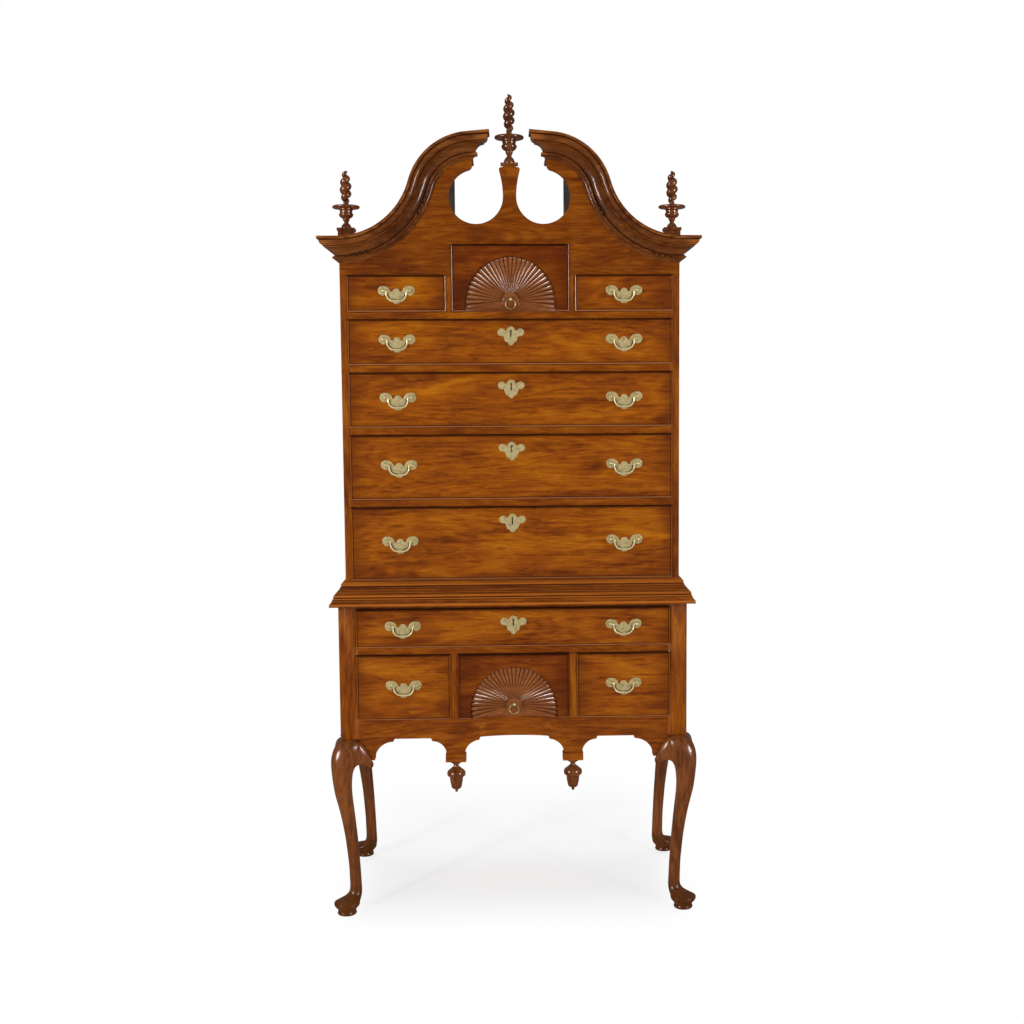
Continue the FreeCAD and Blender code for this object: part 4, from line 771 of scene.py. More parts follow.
def arc(start: Point, middle: Point, end: Point, count: int) -> list[Point]:
    """Return points on the arc through three points, without its first."""
    (ax, ay), (bx, by), (cx, cy) = start, middle, end
    d = 2 * (ax * (by - cy) + bx * (cy - ay) + cx * (ay - by))
    if abs(d) < 1e-12:
        return [end]
    a2, b2, c2 = ax * ax + ay * ay, bx * bx + by * by, cx * cx + cy * cy
    ux = (a2 * (by - cy) + b2 * (cy - ay) + c2 * (ay - by)) / d
    uy = (a2 * (cx - bx) + b2 * (ax - cx) + c2 * (bx - ax)) / d
    radius = math.hypot(ax - ux, ay - uy)
    first = math.atan2(ay - uy, ax - ux)
    sweep = (math.atan2(cy - uy, cx - ux) - first) % (2 * math.pi)
    if (math.atan2(by - uy, bx - ux) - first) % (2 * math.pi) > sweep:
        sweep -= 2 * math.pi
    return [(ux + radius * math.cos(first + sweep * k / count),
             uy + radius * math.sin(first + sweep * k / count)) for k in range(1, count + 1)]


def traced(start: Point, steps: Sequence, fineness: int = 10) -> list[Point]:
    """Return an outline's points; a step is a point, or a point on the arc and its end."""
    points = [start]
    for step in steps:
        if isinstance(step[0], tuple):
            points += arc(points[-1], step[0], step[1], fineness)
        else:
            points.append(step)
    return points


def stretched(outline: Sequence, wide: float, tall: float) -> tuple:
    """Return a point, a step or a whole outline at another width and height."""
    if isinstance(outline[0], (int, float)):
        return outline[0] * wide, outline[1] * tall
    return tuple(stretched(step, wide, tall) for step in outline)


def mirrored_outline(half: Sequence[Point]) -> list[Point]:
    """Return a closed outline from its right half, which starts and ends on the middle."""
    return list(half) + [(-x, z) for x, z in reversed(half[1:-1])]


def cast_plate(name: str, loops: Sequence[Sequence[Point]], at: Vector, thick: float,
               rounding: float) -> bpy.types.Object:
    """Make a flat plate with rounded edges, standing on XZ with its face to the front.

    Args:
        name: the piece's name.
        loops: the outline, and then its holes, about the plate's own middle.
        at: where that middle is, at the plate's back.
        thick: the plate's thickness.
        rounding: radius of its edges.

    Returns:
        The plate.
    """
    curve = bpy.data.curves.new(name, "CURVE")
    curve.dimensions = "2D"
    curve.fill_mode = "BOTH"
    curve.extrude = thick / 2 - rounding
    curve.bevel_depth = rounding
    curve.bevel_resolution = 2
    curve.offset = -rounding
    for loop in loops:
        spline = curve.splines.new("POLY")
        spline.points.add(len(loop) - 1)
        for point, (x, z) in zip(spline.points, loop):
            point.co = (x, z, 0.0, 1.0)
        spline.use_cyclic_u = True
    holder = bpy.data.objects.new(name, curve)
    bpy.context.scene.collection.objects.link(holder)
    graph = bpy.context.evaluated_depsgraph_get()
    mesh = bpy.data.meshes.new_from_object(holder.evaluated_get(graph), depsgraph=graph)
    bpy.data.objects.remove(holder)
    middle = Matrix.Translation(at - Vector((0, thick / 2, 0)))
    mesh.transform(middle @ Matrix.Rotation(math.pi / 2, 4, "X"))
    return smooth(tidy(bpy.data.objects.new(name, mesh), 2e-6), 40.0)


def wire(name: str, path: Sequence[Vector], radii: Sequence[float], around: int = 14) -> bpy.types.Object:
    """Sweep a round section along a path.

    Args:
        name: the piece's name.
        path: the points of its middle.
        radii: its radius at each point.
        around: how many sides the section has.

    Returns:
        The wire, with closed ends.
    """
    rows: list[list[Vector]] = [[path[0]]]
    side = Vector((0, 1, 0))
    for index, (point, radius) in enumerate(zip(path, radii)):
        before, after = path[max(index - 1, 0)], path[min(index + 1, len(path) - 1)]
        other = (after - before).normalized().cross(side).normalized()
        rows.append([point + (side * math.cos(angle) + other * math.sin(angle)) * radius
                     for angle in round_turn(around)])
    rows.append([path[-1]])
    return smooth(lofted(name, rows), 50.0)


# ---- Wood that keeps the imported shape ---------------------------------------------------
UPRIGHT, ACROSS = (2, 0, 1), (0, 2, 1)


class Laid(Enum):
    """What is stored on a piece's points: the kind, and what it is called there."""

    NUMBER = ("FLOAT", "value")
    VECTOR = ("FLOAT_VECTOR", "vector")
    FOUR = ("FLOAT_COLOR", "color")


@dataclass
class Solid:
    """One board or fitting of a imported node: its points and its triangles."""

    points: np.ndarray
    faces: np.ndarray

    def box(self) -> tuple[np.ndarray, np.ndarray]:
        """Return the lowest and the highest corner."""
        return self.points.min(axis=0), self.points.max(axis=0)


def points_of(mesh: bpy.types.Mesh) -> np.ndarray:
    """Return a mesh's points as rows of x, y and z."""
    flat = np.empty(len(mesh.vertices) * 3)
    mesh.vertices.foreach_get("co", flat)
    return flat.reshape(-1, 3)


def triangles_of(mesh: bpy.types.Mesh) -> np.ndarray:
    """Return the corners of a mesh of triangles, as rows of three."""
    flat = np.empty(len(mesh.polygons) * 3, dtype=np.int64)
    mesh.polygons.foreach_get("vertices", flat)
    return flat.reshape(-1, 3)


def lay(piece: bpy.types.Object, name: str, kind: Laid, values: np.ndarray) -> bpy.types.Object:
    """Store values on a piece's points."""
    store = piece.data.attributes.new(name, kind.value[0], "POINT")
    store.data.foreach_set(kind.value[1], values.ravel())
    return piece


def solids_of(mesh: bpy.types.Mesh) -> list[Solid]:
    """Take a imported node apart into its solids.

    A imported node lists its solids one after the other, so a solid is whole once each edge
    of its triangles has been met from both sides.

    Args:
        mesh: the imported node's loose triangles.

    Returns:
        Its solids, with their doubled points merged.
    """
    places = points_of(mesh)
    _, first, ids = np.unique(np.round(places / 2e-6).astype(np.int64), axis=0,
                              return_index=True, return_inverse=True)
    solids: list[Solid] = []
    waiting: set[tuple[int, int]] = set()
    own: list[tuple[int, int, int]] = []
    for a, b, c in ids.ravel()[triangles_of(mesh)].tolist():
        if a == b or b == c or c == a:
            continue
        own.append((a, b, c))
        for edge in ((a, b), (b, c), (c, a)):
            if (edge[1], edge[0]) in waiting:
                waiting.remove((edge[1], edge[0]))
            else:
                waiting.add(edge)
        if not waiting:
            used, faces = np.unique(np.array(own), return_inverse=True)
            solids.append(Solid(places[first[used]], faces.reshape(-1, 3)))
            own = []
    return solids


def linked(count: int, pairs: np.ndarray) -> np.ndarray:
    """Return a label for each of count things, the same for all that pairs link."""
    label = np.arange(count)
    while True:
        low = np.minimum(label[pairs[:, 0]], label[pairs[:, 1]])
        fresh = label.copy()
        np.minimum.at(fresh, pairs[:, 0], low)
        np.minimum.at(fresh, pairs[:, 1], low)
        fresh = fresh[fresh]
        if np.array_equal(fresh, label):
            return label
        label = fresh


def facing(points: np.ndarray, faces: np.ndarray) -> tuple[np.ndarray, np.ndarray]:
    """Return the direction and the double area of each triangle."""
    spots = points[faces]
    normal = np.cross(spots[:, 1] - spots[:, 0], spots[:, 2] - spots[:, 0])
    area = np.linalg.norm(normal, axis=1)
    return normal / np.maximum(area, 1e-14)[:, None], area


def neighbours(faces: np.ndarray) -> tuple[np.ndarray, np.ndarray]:
    """Return the edges that two triangles share, and those two triangles."""
    ends = np.sort(np.concatenate([faces[:, (0, 1)], faces[:, (1, 2)], faces[:, (2, 0)]]), axis=1)
    owner = np.tile(np.arange(len(faces)), 3)
    order = np.lexsort((ends[:, 1], ends[:, 0]))
    ends, owner = ends[order], owner[order]
    same = np.flatnonzero((ends[1:] == ends[:-1]).all(axis=1))
    return ends[same], np.stack([owner[same], owner[same + 1]], axis=1)


def lay_relief(piece: bpy.types.Object, full: float = 60.0) -> bpy.types.Object:
    """Store how proud (over 0) or deep (under 0) each point of a moulding lies.

    Args:
        piece: a mesh of triangles.
        full: the bend in degrees that counts as 1.

    Returns:
        The piece.
    """
    faces, points = triangles_of(piece.data), points_of(piece.data)
    normal, _ = facing(points, faces)
    edges, pairs = neighbours(faces)
    middle = points[faces].mean(axis=1)
    one, two = pairs[:, 0], pairs[:, 1]
    bend = np.degrees(np.arccos(np.clip((normal[one] * normal[two]).sum(axis=1), -1.0, 1.0)))
    hollow = ((middle[two] - middle[one]) * normal[one]).sum(axis=1) > 0
    wear = np.zeros(len(points))
    share = np.minimum(bend / full, 1.0)
    for end in (0, 1):
        np.maximum.at(wear, edges[~hollow, end], share[~hollow])
    for end in (0, 1):
        np.minimum.at(wear, edges[hollow, end], -share[hollow])
    return lay(piece, "wear", Laid.NUMBER, wear)


def even_normals(piece: bpy.types.Object, flat_to: float = 0.7,
                 sharp: float = 32.0) -> bpy.types.Object:
    """Shade a piece of triangles so that flats stay flat and curves run smooth.

    At a corner, each face next to it that is turned by less than the sharp angle counts by
    the size of the flat it belongs to.

    Args:
        piece: a merged mesh of triangles.
        flat_to: the angle in degrees up to which two triangles are one flat.
        sharp: the angle in degrees from which an edge stays sharp.

    Returns:
        The piece, with its own normals.
    """
    mesh = piece.data
    mesh.shade_smooth()
    faces = triangles_of(mesh)
    corners, count = faces.ravel(), len(faces)
    normal, area = facing(points_of(mesh), faces)
    _, pairs = neighbours(faces)
    flat = (normal[pairs[:, 0]] * normal[pairs[:, 1]]).sum(axis=1) > math.cos(math.radians(flat_to))
    label = linked(count, pairs[flat])
    weight = np.bincount(label, area, count)[label]
    order = np.argsort(corners, kind="stable")
    _, start, size = np.unique(corners[order], return_index=True, return_counts=True)
    reach = np.repeat(size, size)
    here = np.repeat(np.arange(len(order)), reach)
    step = np.arange(len(here)) - np.repeat(np.cumsum(reach) - reach, reach)
    there = np.repeat(np.repeat(start, size), reach) + step
    near, other = order[here] // 3, order[there] // 3
    close = (normal[near] * normal[other]).sum(axis=1) > math.cos(math.radians(sharp))
    total = np.zeros((len(corners), 3))
    for part in range(3):
        pull = (normal[other, part] * weight[other])[close]
        total[:, part] = np.bincount(order[here[close]], pull, len(corners))
    total /= np.maximum(np.linalg.norm(total, axis=1), 1e-14)[:, None]
    mesh.normals_split_custom_set(total.tolist())
    return piece


def lay_grain(piece: bpy.types.Object, solids: Sequence[Solid], seed: int,
              axis: Optional[int] = None) -> bpy.types.Object:
    """Give each solid of a piece its own cut of wood, with the grain along its length.

    Args:
        piece: a mesh that holds the solids' points in order.
        solids: those solids.
        seed: picks the cuts.
        axis: the grain's axis, or None for each solid's longest side.

    Returns:
        The piece, with its wood and margins stored on its points.
    """
    wood, margins = [], []
    chance = np.random.default_rng(seed)
    for solid in solids:
        spot = solid.points
        low, high = solid.box()
        order = list(np.argsort(low - high))
        if axis is not None:
            order.remove(axis)
            order.insert(0, axis)
        wood.append(spot[:, order] + chance.uniform(0.0, 9.0, 3))
        a, b = order[:2]
        margins.append(np.stack([spot[:, a] - low[a], high[a] - spot[:, a], spot[:, b] - low[b],
                                 high[b] - spot[:, b]], axis=1))
    lay(piece, "wood", Laid.VECTOR, np.concatenate(wood))
    return lay(piece, "margins", Laid.FOUR, np.concatenate(margins))


def lay_whole_grain(piece: bpy.types.Object, order: Sequence[int], seed: int) -> bpy.types.Object:
    """Lay one board's grain over a whole carving, its axes in the given order."""
    wood = points_of(piece.data)[:, order] + np.random.default_rng(seed).uniform(0.0, 9.0, 3)
    return lay(piece, "wood", Laid.VECTOR, wood)


def eased(solid: Solid, width: float) -> Solid:
    """Return a plain board with its sharp edges eased by a width."""
    work = bmesh.new()
    verts = [work.verts.new(point) for point in solid.points]
    for face in solid.faces:
        work.faces.new([verts[index] for index in face])
    bmesh.ops.dissolve_limit(work, angle_limit=math.radians(0.4), verts=work.verts,
                             edges=work.edges)
    sharp = [edge for edge in work.edges if len(edge.link_faces) == 2
             and edge.calc_face_angle(0.0) > math.radians(40.0)]
    bmesh.ops.bevel(work, geom=sharp, offset=width, segments=2, profile=0.5, affect="EDGES",
                    clamp_overlap=True)
    bmesh.ops.triangulate(work, faces=work.faces)
    work.verts.index_update()
    points = np.array([tuple(vert.co) for vert in work.verts])
    faces = np.array([[vert.index for vert in face.verts] for face in work.faces])
    work.free()
    return Solid(points, faces)


@dataclass
class Shop:
    """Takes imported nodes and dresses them."""

    frame: dict
    count: int = 0

    def solids(self, node: str, ease: float = 0.0) -> list[Solid]:
        """Return a node's solids, with their sharp edges eased by a width."""
        solids = solids_of(self.frame["nodes"][node].data)
        return [eased(solid, ease) for solid in solids] if ease else solids

    @staticmethod
    def copy_of(name: str, solids: Sequence[Solid]) -> bpy.types.Object:
        """Make one piece from solids, each with points of its own."""
        points, faces, start = [], [], 0
        for solid in solids:
            points.append(solid.points)
            faces.append(solid.faces + start)
            start += len(solid.points)
        mesh = bpy.data.meshes.new(name)
        mesh.from_pydata(np.concatenate(points).tolist(), [], np.concatenate(faces).tolist())
        piece = bpy.data.objects.new(name, mesh)
        bpy.context.scene.collection.objects.link(piece)
        return even_normals(piece)

    def place(self, piece: bpy.types.Object, body: str, slot: str, *nodes: str) -> bpy.types.Object:
        """Hand a finished piece to its body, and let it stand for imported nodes."""
        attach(piece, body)
        if nodes:
            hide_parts(*nodes)
        self.count += 1
        LOG.info("%s rides on %s, %d faces", piece.name, body, len(piece.data.polygons))
        return piece

    def wooden(self, node: str, finish: Wood, ease: float = 0.0, axis: Optional[int] = None) -> None:
        """Dress a whole node of the case in one wood.

        Args:
            node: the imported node.
            finish: its wood.
            ease: how far its sharp edges are eased.
            axis: the grain's axis, or None for each board's longest side.
        """
        solids = self.solids(node, ease)
        piece = self.copy_of(node + "_wood", solids)
        lay_grain(piece, solids, len(node) * 7 + self.count, axis)
        if finish.wear_and_shade:
            lay_relief(piece)
        self.place(dress(piece, finish), "case", "cherry", node)

    def faced(self, name: str, solids: Sequence[Solid], shown: int, finishes: tuple[Wood, Wood],
              seed: int, axis: Optional[int] = None) -> bpy.types.Object:
        """Make a piece of boards in two woods.

        Args:
            name: the piece's name.
            solids: its boards, those that are shown first.
            shown: how many are shown.
            finishes: the wood of those, and the wood of the others.
            seed: picks the cuts of wood.
            axis: the grain's axis, or None for each board's longest side.

        Returns:
            The piece.
        """
        piece = dress(lay_grain(self.copy_of(name, solids), solids, seed, axis), *finishes)
        edge = sum(len(solid.points) for solid in solids[:shown])
        for face in piece.data.polygons:
            face.material_index = 0 if face.vertices[0] < edge else 1
        return piece

    def painted(self, node: str, finish: Wood) -> None:
        """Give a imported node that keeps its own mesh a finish."""
        dress(self.frame["nodes"][node], finish)


# ---- Case -----------------------------------------------------------------------------
@dataclass
class Case:
    """The stand, the chest and the pediment."""

    shop: Shop
    ease: float = 0.7 * MM
    hoods: int = 2

    def build(self) -> None:
        """Dress every fixed board and moulding."""
        for node in ("stand_sides", "stand_rails", "chest_sides", "chest_rails"):
            self.shop.wooden(node, CHERRY, self.ease)
        self.shop.wooden("stand_apron", CHERRY, axis=0)
        self.shop.wooden("scroll_board", SCROLL, axis=0)
        self._hood()
        self.shop.wooden("waist_moulding", MOULDED)
        self.shop.wooden("cornice_moulding", CORNICE)
        self.shop.wooden("finial_plinths", TURNED)
        self.shop.wooden("chest_boards", RAW_PAINTED_SHADE)
        self.shop.painted("back_boards", DEAL_BACK)
        self.shop.painted("drawer_runners", DEAL_RUNNERS)

    def _hood(self) -> None:
        """Dress the bonnet: two varnished hoods over raw inner and closing boards, darkened as painted
        shade.
        """
        solids = self.shop.solids("bonnet_hood")
        solids.sort(key=lambda solid: -float(np.ptp(solid.points[:, :2], axis=0).prod()))
        piece = self.shop.faced("bonnet_hood_wood", solids, self.hoods, (CHERRY, RAW_PAINTED_SHADE), 77, 1)
        self.shop.place(piece, "case", "cherry", "bonnet_hood")


@dataclass
class Legs:
    """The cabriole legs: square posts over knees, brackets and feet carved in one flow.

    The knees are rubbed down above soft_from, and the feet flare between two heights.
    """

    shop: Shop
    top: float = 0.4842
    lap: float = 1.6 * MM
    grid: float = 2.2 * MM
    knee_rounds: int = 130
    foot_rounds: int = 5
    soft_from: float = 0.34
    soft_over: float = 0.05
    foot: Span = (33.0 * MM, 95.0 * MM)
    flare: float = 1.7

    def build(self) -> None:
        """Carve the front and the back legs."""
        for seed, node in enumerate(("front_legs", "back_legs"), 41):
            solids = self.shop.solids(node)
            posts = cut_level(self.shop.copy_of(node + "_posts", solids), self.top, Keep.OVER)
            lower = cut_level(self.shop.copy_of(node + "_lower", solids), self.top + self.lap,
                              Keep.UNDER)
            whole = smooth(joined(node + "_wood", [posts, self._carved(lower)]), 50.0)
            lay_whole_grain(whole, UPRIGHT, seed)
            self.shop.place(dress(whole, LEGS), "case", "cherry", node)

    def _carved(self, piece: bpy.types.Object) -> bpy.types.Object:
        """Join knee and bracket into one skin, rub it down and flare its foot."""
        change = piece.modifiers.new("skin", "REMESH")
        change.mode = "VOXEL"
        change.voxel_size = self.grid
        made = baked(piece)
        mesh = made.data
        spot = points_of(mesh)
        low, high = spot.min(axis=0), spot.max(axis=0)
        ends = np.empty(len(mesh.edges) * 2, dtype=np.int64)
        mesh.edges.foreach_get("vertices", ends)
        spot = np.clip(self._rubbed(spot, ends.reshape(-1, 2)), low, high)
        height = np.maximum(spot[:, 2], 0.0)
        under, over = self.foot
        share = np.clip((height - under) / (over - under), 0.0, 1.0)
        spot[:, 2] = height + (over - under) * (share ** self.flare - share)
        mesh.vertices.foreach_set("co", spot.ravel())
        mesh.update()
        return made

    def _rubbed(self, spot: np.ndarray, pairs: np.ndarray) -> np.ndarray:
        """Draw each point to the middle of its neighbours, round by round.

        Args:
            spot: the points.
            pairs: the two points of each edge.

        Returns:
            The points, rubbed down most at the knee.
        """
        one, two = pairs[:, 0], pairs[:, 1]
        count = np.bincount(pairs.ravel(), minlength=len(spot))[:, None]
        knee = np.clip((spot[:, 2:] - self.soft_from) / self.soft_over, 0.0, 1.0)
        for step in range(self.knee_rounds):
            total = np.zeros_like(spot)
            for part in range(3):
                total[:, part] = np.bincount(np.concatenate([one, two]), np.concatenate(
                    [spot[two, part], spot[one, part]]), len(spot))
            share = 0.5 if step < self.foot_rounds else 0.5 * knee
            spot += (total / np.maximum(count, 1) - spot) * share
        return spot


# ---- Turnings -------------------------------------------------------------------------
# Outlines from the bottom up, as shares of the widest radius and of the height.
ACORN = (((0.11, 0.004), (0.160, 0.035)), ((0.15, 0.070), (0.15, 0.088)), (0.34, 0.100),
         ((0.47, 0.125), (0.57, 0.200)), ((0.67, 0.330), (0.715, 0.495)), (0.73, 0.502),
         ((0.94, 0.520), (0.998, 0.580)), ((0.95, 0.660), (0.79, 0.703)),
         ((0.58, 0.755), (0.37, 0.805)), ((0.29, 0.830), (0.26, 0.852)),
         ((0.29, 0.880), (0.36, 0.900)), ((0.52, 0.930), (0.74, 0.972)), (0.80, 0.978), (0.80, 1.0))
FINIAL = ((0.375, 0.0), (0.38, 0.012), ((0.31, 0.055), (0.16, 0.092)), (0.148, 0.106),
          ((0.22, 0.135), (0.262, 0.163)), (0.255, 0.169), (0.238, 0.175),
          ((0.45, 0.200), (0.525, 0.243)), (0.515, 0.254), ((0.455, 0.264), (0.450, 0.276)),
          ((0.455, 0.300), (0.500, 0.322)), (0.50, 0.336), (0.88, 0.344),
          ((0.998, 0.368), (0.88, 0.392)), (0.28, 0.400), (0.238, 0.412),
          ((0.185, 0.430), (0.20, 0.450)), (0.17, 0.464), (0.0, 0.464))


@dataclass
class Turnings:
    """The finials with their corkscrew twists, and the acorn drops."""

    shop: Shop
    twist: float = 15.8 * MM
    twist_from: float = 0.45
    twist_short: float = 1.6 * MM
    pitch: float = 19.8 * MM
    tenon: float = 6.9 * MM
    tenon_length: float = 14.0 * MM
    starts: Spot = (-34.0, -168.0, 100.0)

    def build(self) -> None:
        """Turn and carve all three finials and both drops."""
        solids = sorted(self.shop.solids("finials"), key=lambda solid: solid.box()[0][0])
        finials = [self._finial("finial_%d" % number, solid, math.radians(start))
                   for number, (solid, start) in enumerate(zip(solids, self.starts))]
        self._hand_over("finials_carved", finials, 11, "finials")
        acorns = [self._acorn("acorn_%d" % number, solid)
                  for number, solid in enumerate(self.shop.solids("acorn_drops"))]
        self._hand_over("acorns_turned", acorns, 17, "acorn_drops")

    def _hand_over(self, name: str, pieces: Sequence[bpy.types.Object], seed: int, node: str) -> None:
        """Join turnings into one piece, which stands for a node."""
        whole = smooth(tidy(joined(name, pieces)), 42.0)
        lay_whole_grain(whole, UPRIGHT, seed)
        self.shop.place(dress(whole, TURNED), "case", "cherry", node)

    @staticmethod
    def _measured(solid: Solid) -> tuple[Vector, float, float]:
        """Return a solid's foot, its radius and its height."""
        low, high = solid.box()
        middle = (low + high) / 2
        return Vector((middle[0], middle[1], low[2])), (high[0] - low[0]) / 2, high[2] - low[2]

    def _acorn(self, name: str, solid: Solid) -> bpy.types.Object:
        """Turn one drop: an acorn in its cap, a thin neck, a cup and a tenon."""
        foot, wide, height = self._measured(solid)
        drop = height - self.tenon_length
        profile = traced((0.0, 0.0), stretched(ACORN, wide, drop), 7)
        profile += [(self.tenon, drop), (self.tenon, height), (0.0, height)]
        return turned(name, profile, foot)

    def _finial(self, name: str, solid: Solid, start: float) -> bpy.types.Object:
        """Turn one finial, and stand its twist on top."""
        foot, wide, height = self._measured(solid)
        stem = turned(name, traced((0.0, 0.0), stretched(FINIAL, wide, height), 8), foot, 64)
        rise = self.twist_from * height
        length = height - rise - self.twist_short
        holder = new_piece(name + "_twist", [foot + Vector((0, 0, rise))], [])
        apply_tree(holder, twist_tree(), {"Length": length, "Width": self.twist, "Start": start,
                                          "Turns": length / self.pitch, "Wood": TURNED.material()})
        return joined(name, [stem, tidy(baked(holder))])


# ---- Geometry Nodes trees -------------------------------------------------------------
def apply_tree(piece: bpy.types.Object, tree: bpy.types.NodeTree, inputs: dict) -> None:
    """Put a Geometry Nodes tree on a piece and set its inputs by their identifiers."""
    modifier = piece.modifiers.new("nodes", "NODES")
    modifier.node_group = tree
    for item in tree.interface.items_tree:
        if item.item_type == "SOCKET" and item.in_out == "INPUT" and item.name in inputs:
            modifier[item.identifier] = inputs[item.name]


def new_tree(name: str, sockets: dict[str, object]) -> tuple[Graph, Sock]:
    """Start a Geometry Nodes tree.

    Args:
        name: the tree's name.
        sockets: each input after the geometry: a number's default, or another's type.

    Returns:
        The graph, and its group input.
    """
    tree = bpy.data.node_groups.new(name, "GeometryNodeTree")
    tree.interface.new_socket("Geometry", in_out="INPUT", socket_type="NodeSocketGeometry")
    for label, given in sockets.items():
        kind = {float: "Float", int: "Int"}.get(type(given), given)
        made = tree.interface.new_socket(label, in_out="INPUT", socket_type="NodeSocket%s" % kind)
        if kind != given:
            made.default_value = given
    tree.interface.new_socket("Geometry", in_out="OUTPUT", socket_type="NodeSocketGeometry")
    graph = Graph(tree)
    return graph, graph.node("NodeGroupInput")


def end_tree(graph: Graph, shape: Sock, material: Sock) -> bpy.types.NodeTree:
    """Finish a tree with real geometry and its material."""
    real = graph.node("GeometryNodeRealizeInstances", None, {0: shape})
    dressed = graph.node("GeometryNodeSetMaterial", None, {0: real, "Material": material})
    graph.node("NodeGroupOutput", None, {0: dressed})
    return graph.tree


@cache
def twist_tree(steps: int = 150, sides: int = 22, orbit: float = 0.36,
               thick: float = 0.64) -> bpy.types.NodeTree:
    """Build the tree of the finials' corkscrew twist.

    Args:
        steps: how many points its line has.
        sides: how many sides the strand has.
        orbit: how far the strand's middle is from the axis, as a share of its width there.
        thick: the strand's radius, as a share of its width there.

    Returns:
        The tree.
    """
    g, given = new_tree("corkscrew_twist", {"Length": 0.07, "Width": 0.015, "Turns": 4.0,
                                            "Start": 0.0, "Wood": "Material"})
    foot = g.node("GeometryNodeAttributeStatistic", {"data_type": "FLOAT_VECTOR"}, {
        "Geometry": given.out("Geometry"), 2: g.node("GeometryNodeInputPosition")}, "Mean")
    line = g.node("GeometryNodeCurvePrimitiveLine", None, {"Start": (0.0, 0.0, 0.0)})
    line = g.node("GeometryNodeResampleCurve", None, {"Curve": line, "Count": steps})
    share = g.node("GeometryNodeSplineParameter", None, None, "Factor")
    swell = 0.40 + 0.60 * ((share ** 0.9) * math.pi).sine().most(0.0) ** 0.6 - 0.14 * share ** 3.0
    tip = ((share - 0.965) / 0.035).most(0.0)
    swell = swell * given.out("Width") * (1.02 - tip * tip).most(0.0).root()
    angle = given.out("Start") + share * given.out("Turns") * (2 * math.pi)
    reach = swell * orbit
    spot = g.node("ShaderNodeCombineXYZ", None, {
        0: reach * angle.cosine(), 1: reach * angle.sine(), 2: share * given.out("Length")})
    line = g.node("GeometryNodeSetPosition", None,
                  {"Geometry": line, "Position": g.vector("ADD", spot, foot)})
    section = g.node("GeometryNodeCurvePrimitiveCircle", None, {"Resolution": sides, "Radius": 1.0})
    strand = g.node("GeometryNodeCurveToMesh", None, {
        "Curve": line, "Profile Curve": section, "Scale": swell * thick, "Fill Caps": True})
    return end_tree(g, strand, given.out("Wood"))


@cache
def fan_tree() -> bpy.types.NodeTree:
    """Build the tree that repeats a ray round an arc and bends it to a hollow."""
    g, given = new_tree("fan_rays", {
        "Ray": "Object", "Count": 31, "Pitch": 0.11, "Hollow": 0.3, "Radius": 0.12, "Raised": 0.0,
        "Centre Y": 0.0, "Centre Z": 0.0, "Wood": "Material"})
    count, raised, radius = given.out("Count"), given.out("Raised"), given.out("Radius")
    places = g.node("GeometryNodePoints", None, {"Count": count})
    order = g.node("GeometryNodeInputIndex")
    angle = (order - (count - 1.0) * 0.5) * given.out("Pitch") + math.pi / 2
    sideways = raised * angle.cosine()
    reach = (radius * radius - sideways * sideways).root() - raised * angle.sine()
    ray = g.node("GeometryNodeObjectInfo", None, {"Object": given.out("Ray")}, "Geometry")
    turn = g.node("ShaderNodeCombineXYZ", None, {1: 0.0 - angle})
    rays = g.node("GeometryNodeInstanceOnPoints", None,
                  {"Points": places, "Instance": ray, "Rotation": turn, "Scale": reach / radius})
    rays = g.node("GeometryNodeRealizeInstances", None, {0: rays})
    x = g.apart(g.node("GeometryNodeInputPosition"))
    y, z = x.out("Y"), x.out("Z") + raised
    above = z.most(0.0)
    hollow = given.out("Hollow")
    back = (hollow * hollow - x * x - above * above).root()
    place = g.node("ShaderNodeCombineXYZ", None, {
        0: x, 1: y + back + given.out("Centre Y"), 2: z + given.out("Centre Z")})
    bent = g.node("GeometryNodeSetPosition", None, {"Geometry": rays, "Position": place})
    return end_tree(g, bent, given.out("Wood"))


@cache
def fitting_tree() -> bpy.types.NodeTree:
    """Build the tree that sets one fitting at every point."""
    g, given = new_tree("fittings", {"Fitting": "Object", "Brass": "Material"})
    shape = g.node("GeometryNodeObjectInfo", None, {"Object": given.out("Fitting")}, "Geometry")
    spread = g.node("GeometryNodeInstanceOnPoints", None,
                    {"Points": given.out("Geometry"), "Instance": shape})
    return end_tree(g, spread, given.out("Brass"))


# ---- Drawers --------------------------------------------------------------------------
DRAWERS = ("top_left_drawer", "top_fan_drawer", "top_right_drawer", "long_drawer_4",
           "long_drawer_3", "long_drawer_2", "long_drawer_1", "stand_long_drawer",
           "stand_left_drawer", "stand_fan_drawer", "stand_right_drawer")


@dataclass
class Drawers:
    """The eleven drawers: cherry fronts on boxes of pale deal."""

    shop: Shop

    def build(self) -> None:
        """Dress each drawer's boards, its front in one wood and its box in another."""
        for seed, name in enumerate(DRAWERS, 101):
            solids = sorted(self.shop.solids(name), key=lambda solid: solid.box()[0][1])
            finishes = (FAN_FRONTS if "_fan_" in name else FRONTS, DEAL)
            piece = self.shop.faced(name + "_boards", solids, 1, finishes, seed)
            self.shop.place(piece, name, "cherry", name)


# A ray's nose: the share of its length where it starts to drop, and how round it is. Its
# crest and its base are shares of its half width, as is the place where a groove begins.
NOSE_FROM, NOSE_ROUND = 0.8, 0.95
CREST, BASE, GROOVE_FROM = 0.62, 0.30, 0.55
# The hub's border in millimetres: how far in from its edge, and how high over the hollow.
BORDER = ((0.0, -0.6), (0.0, 3.2), (0.5, 3.8), (1.5, 3.8), (2.1, 3.2), (2.8, 2.2), (12.0, 2.8))


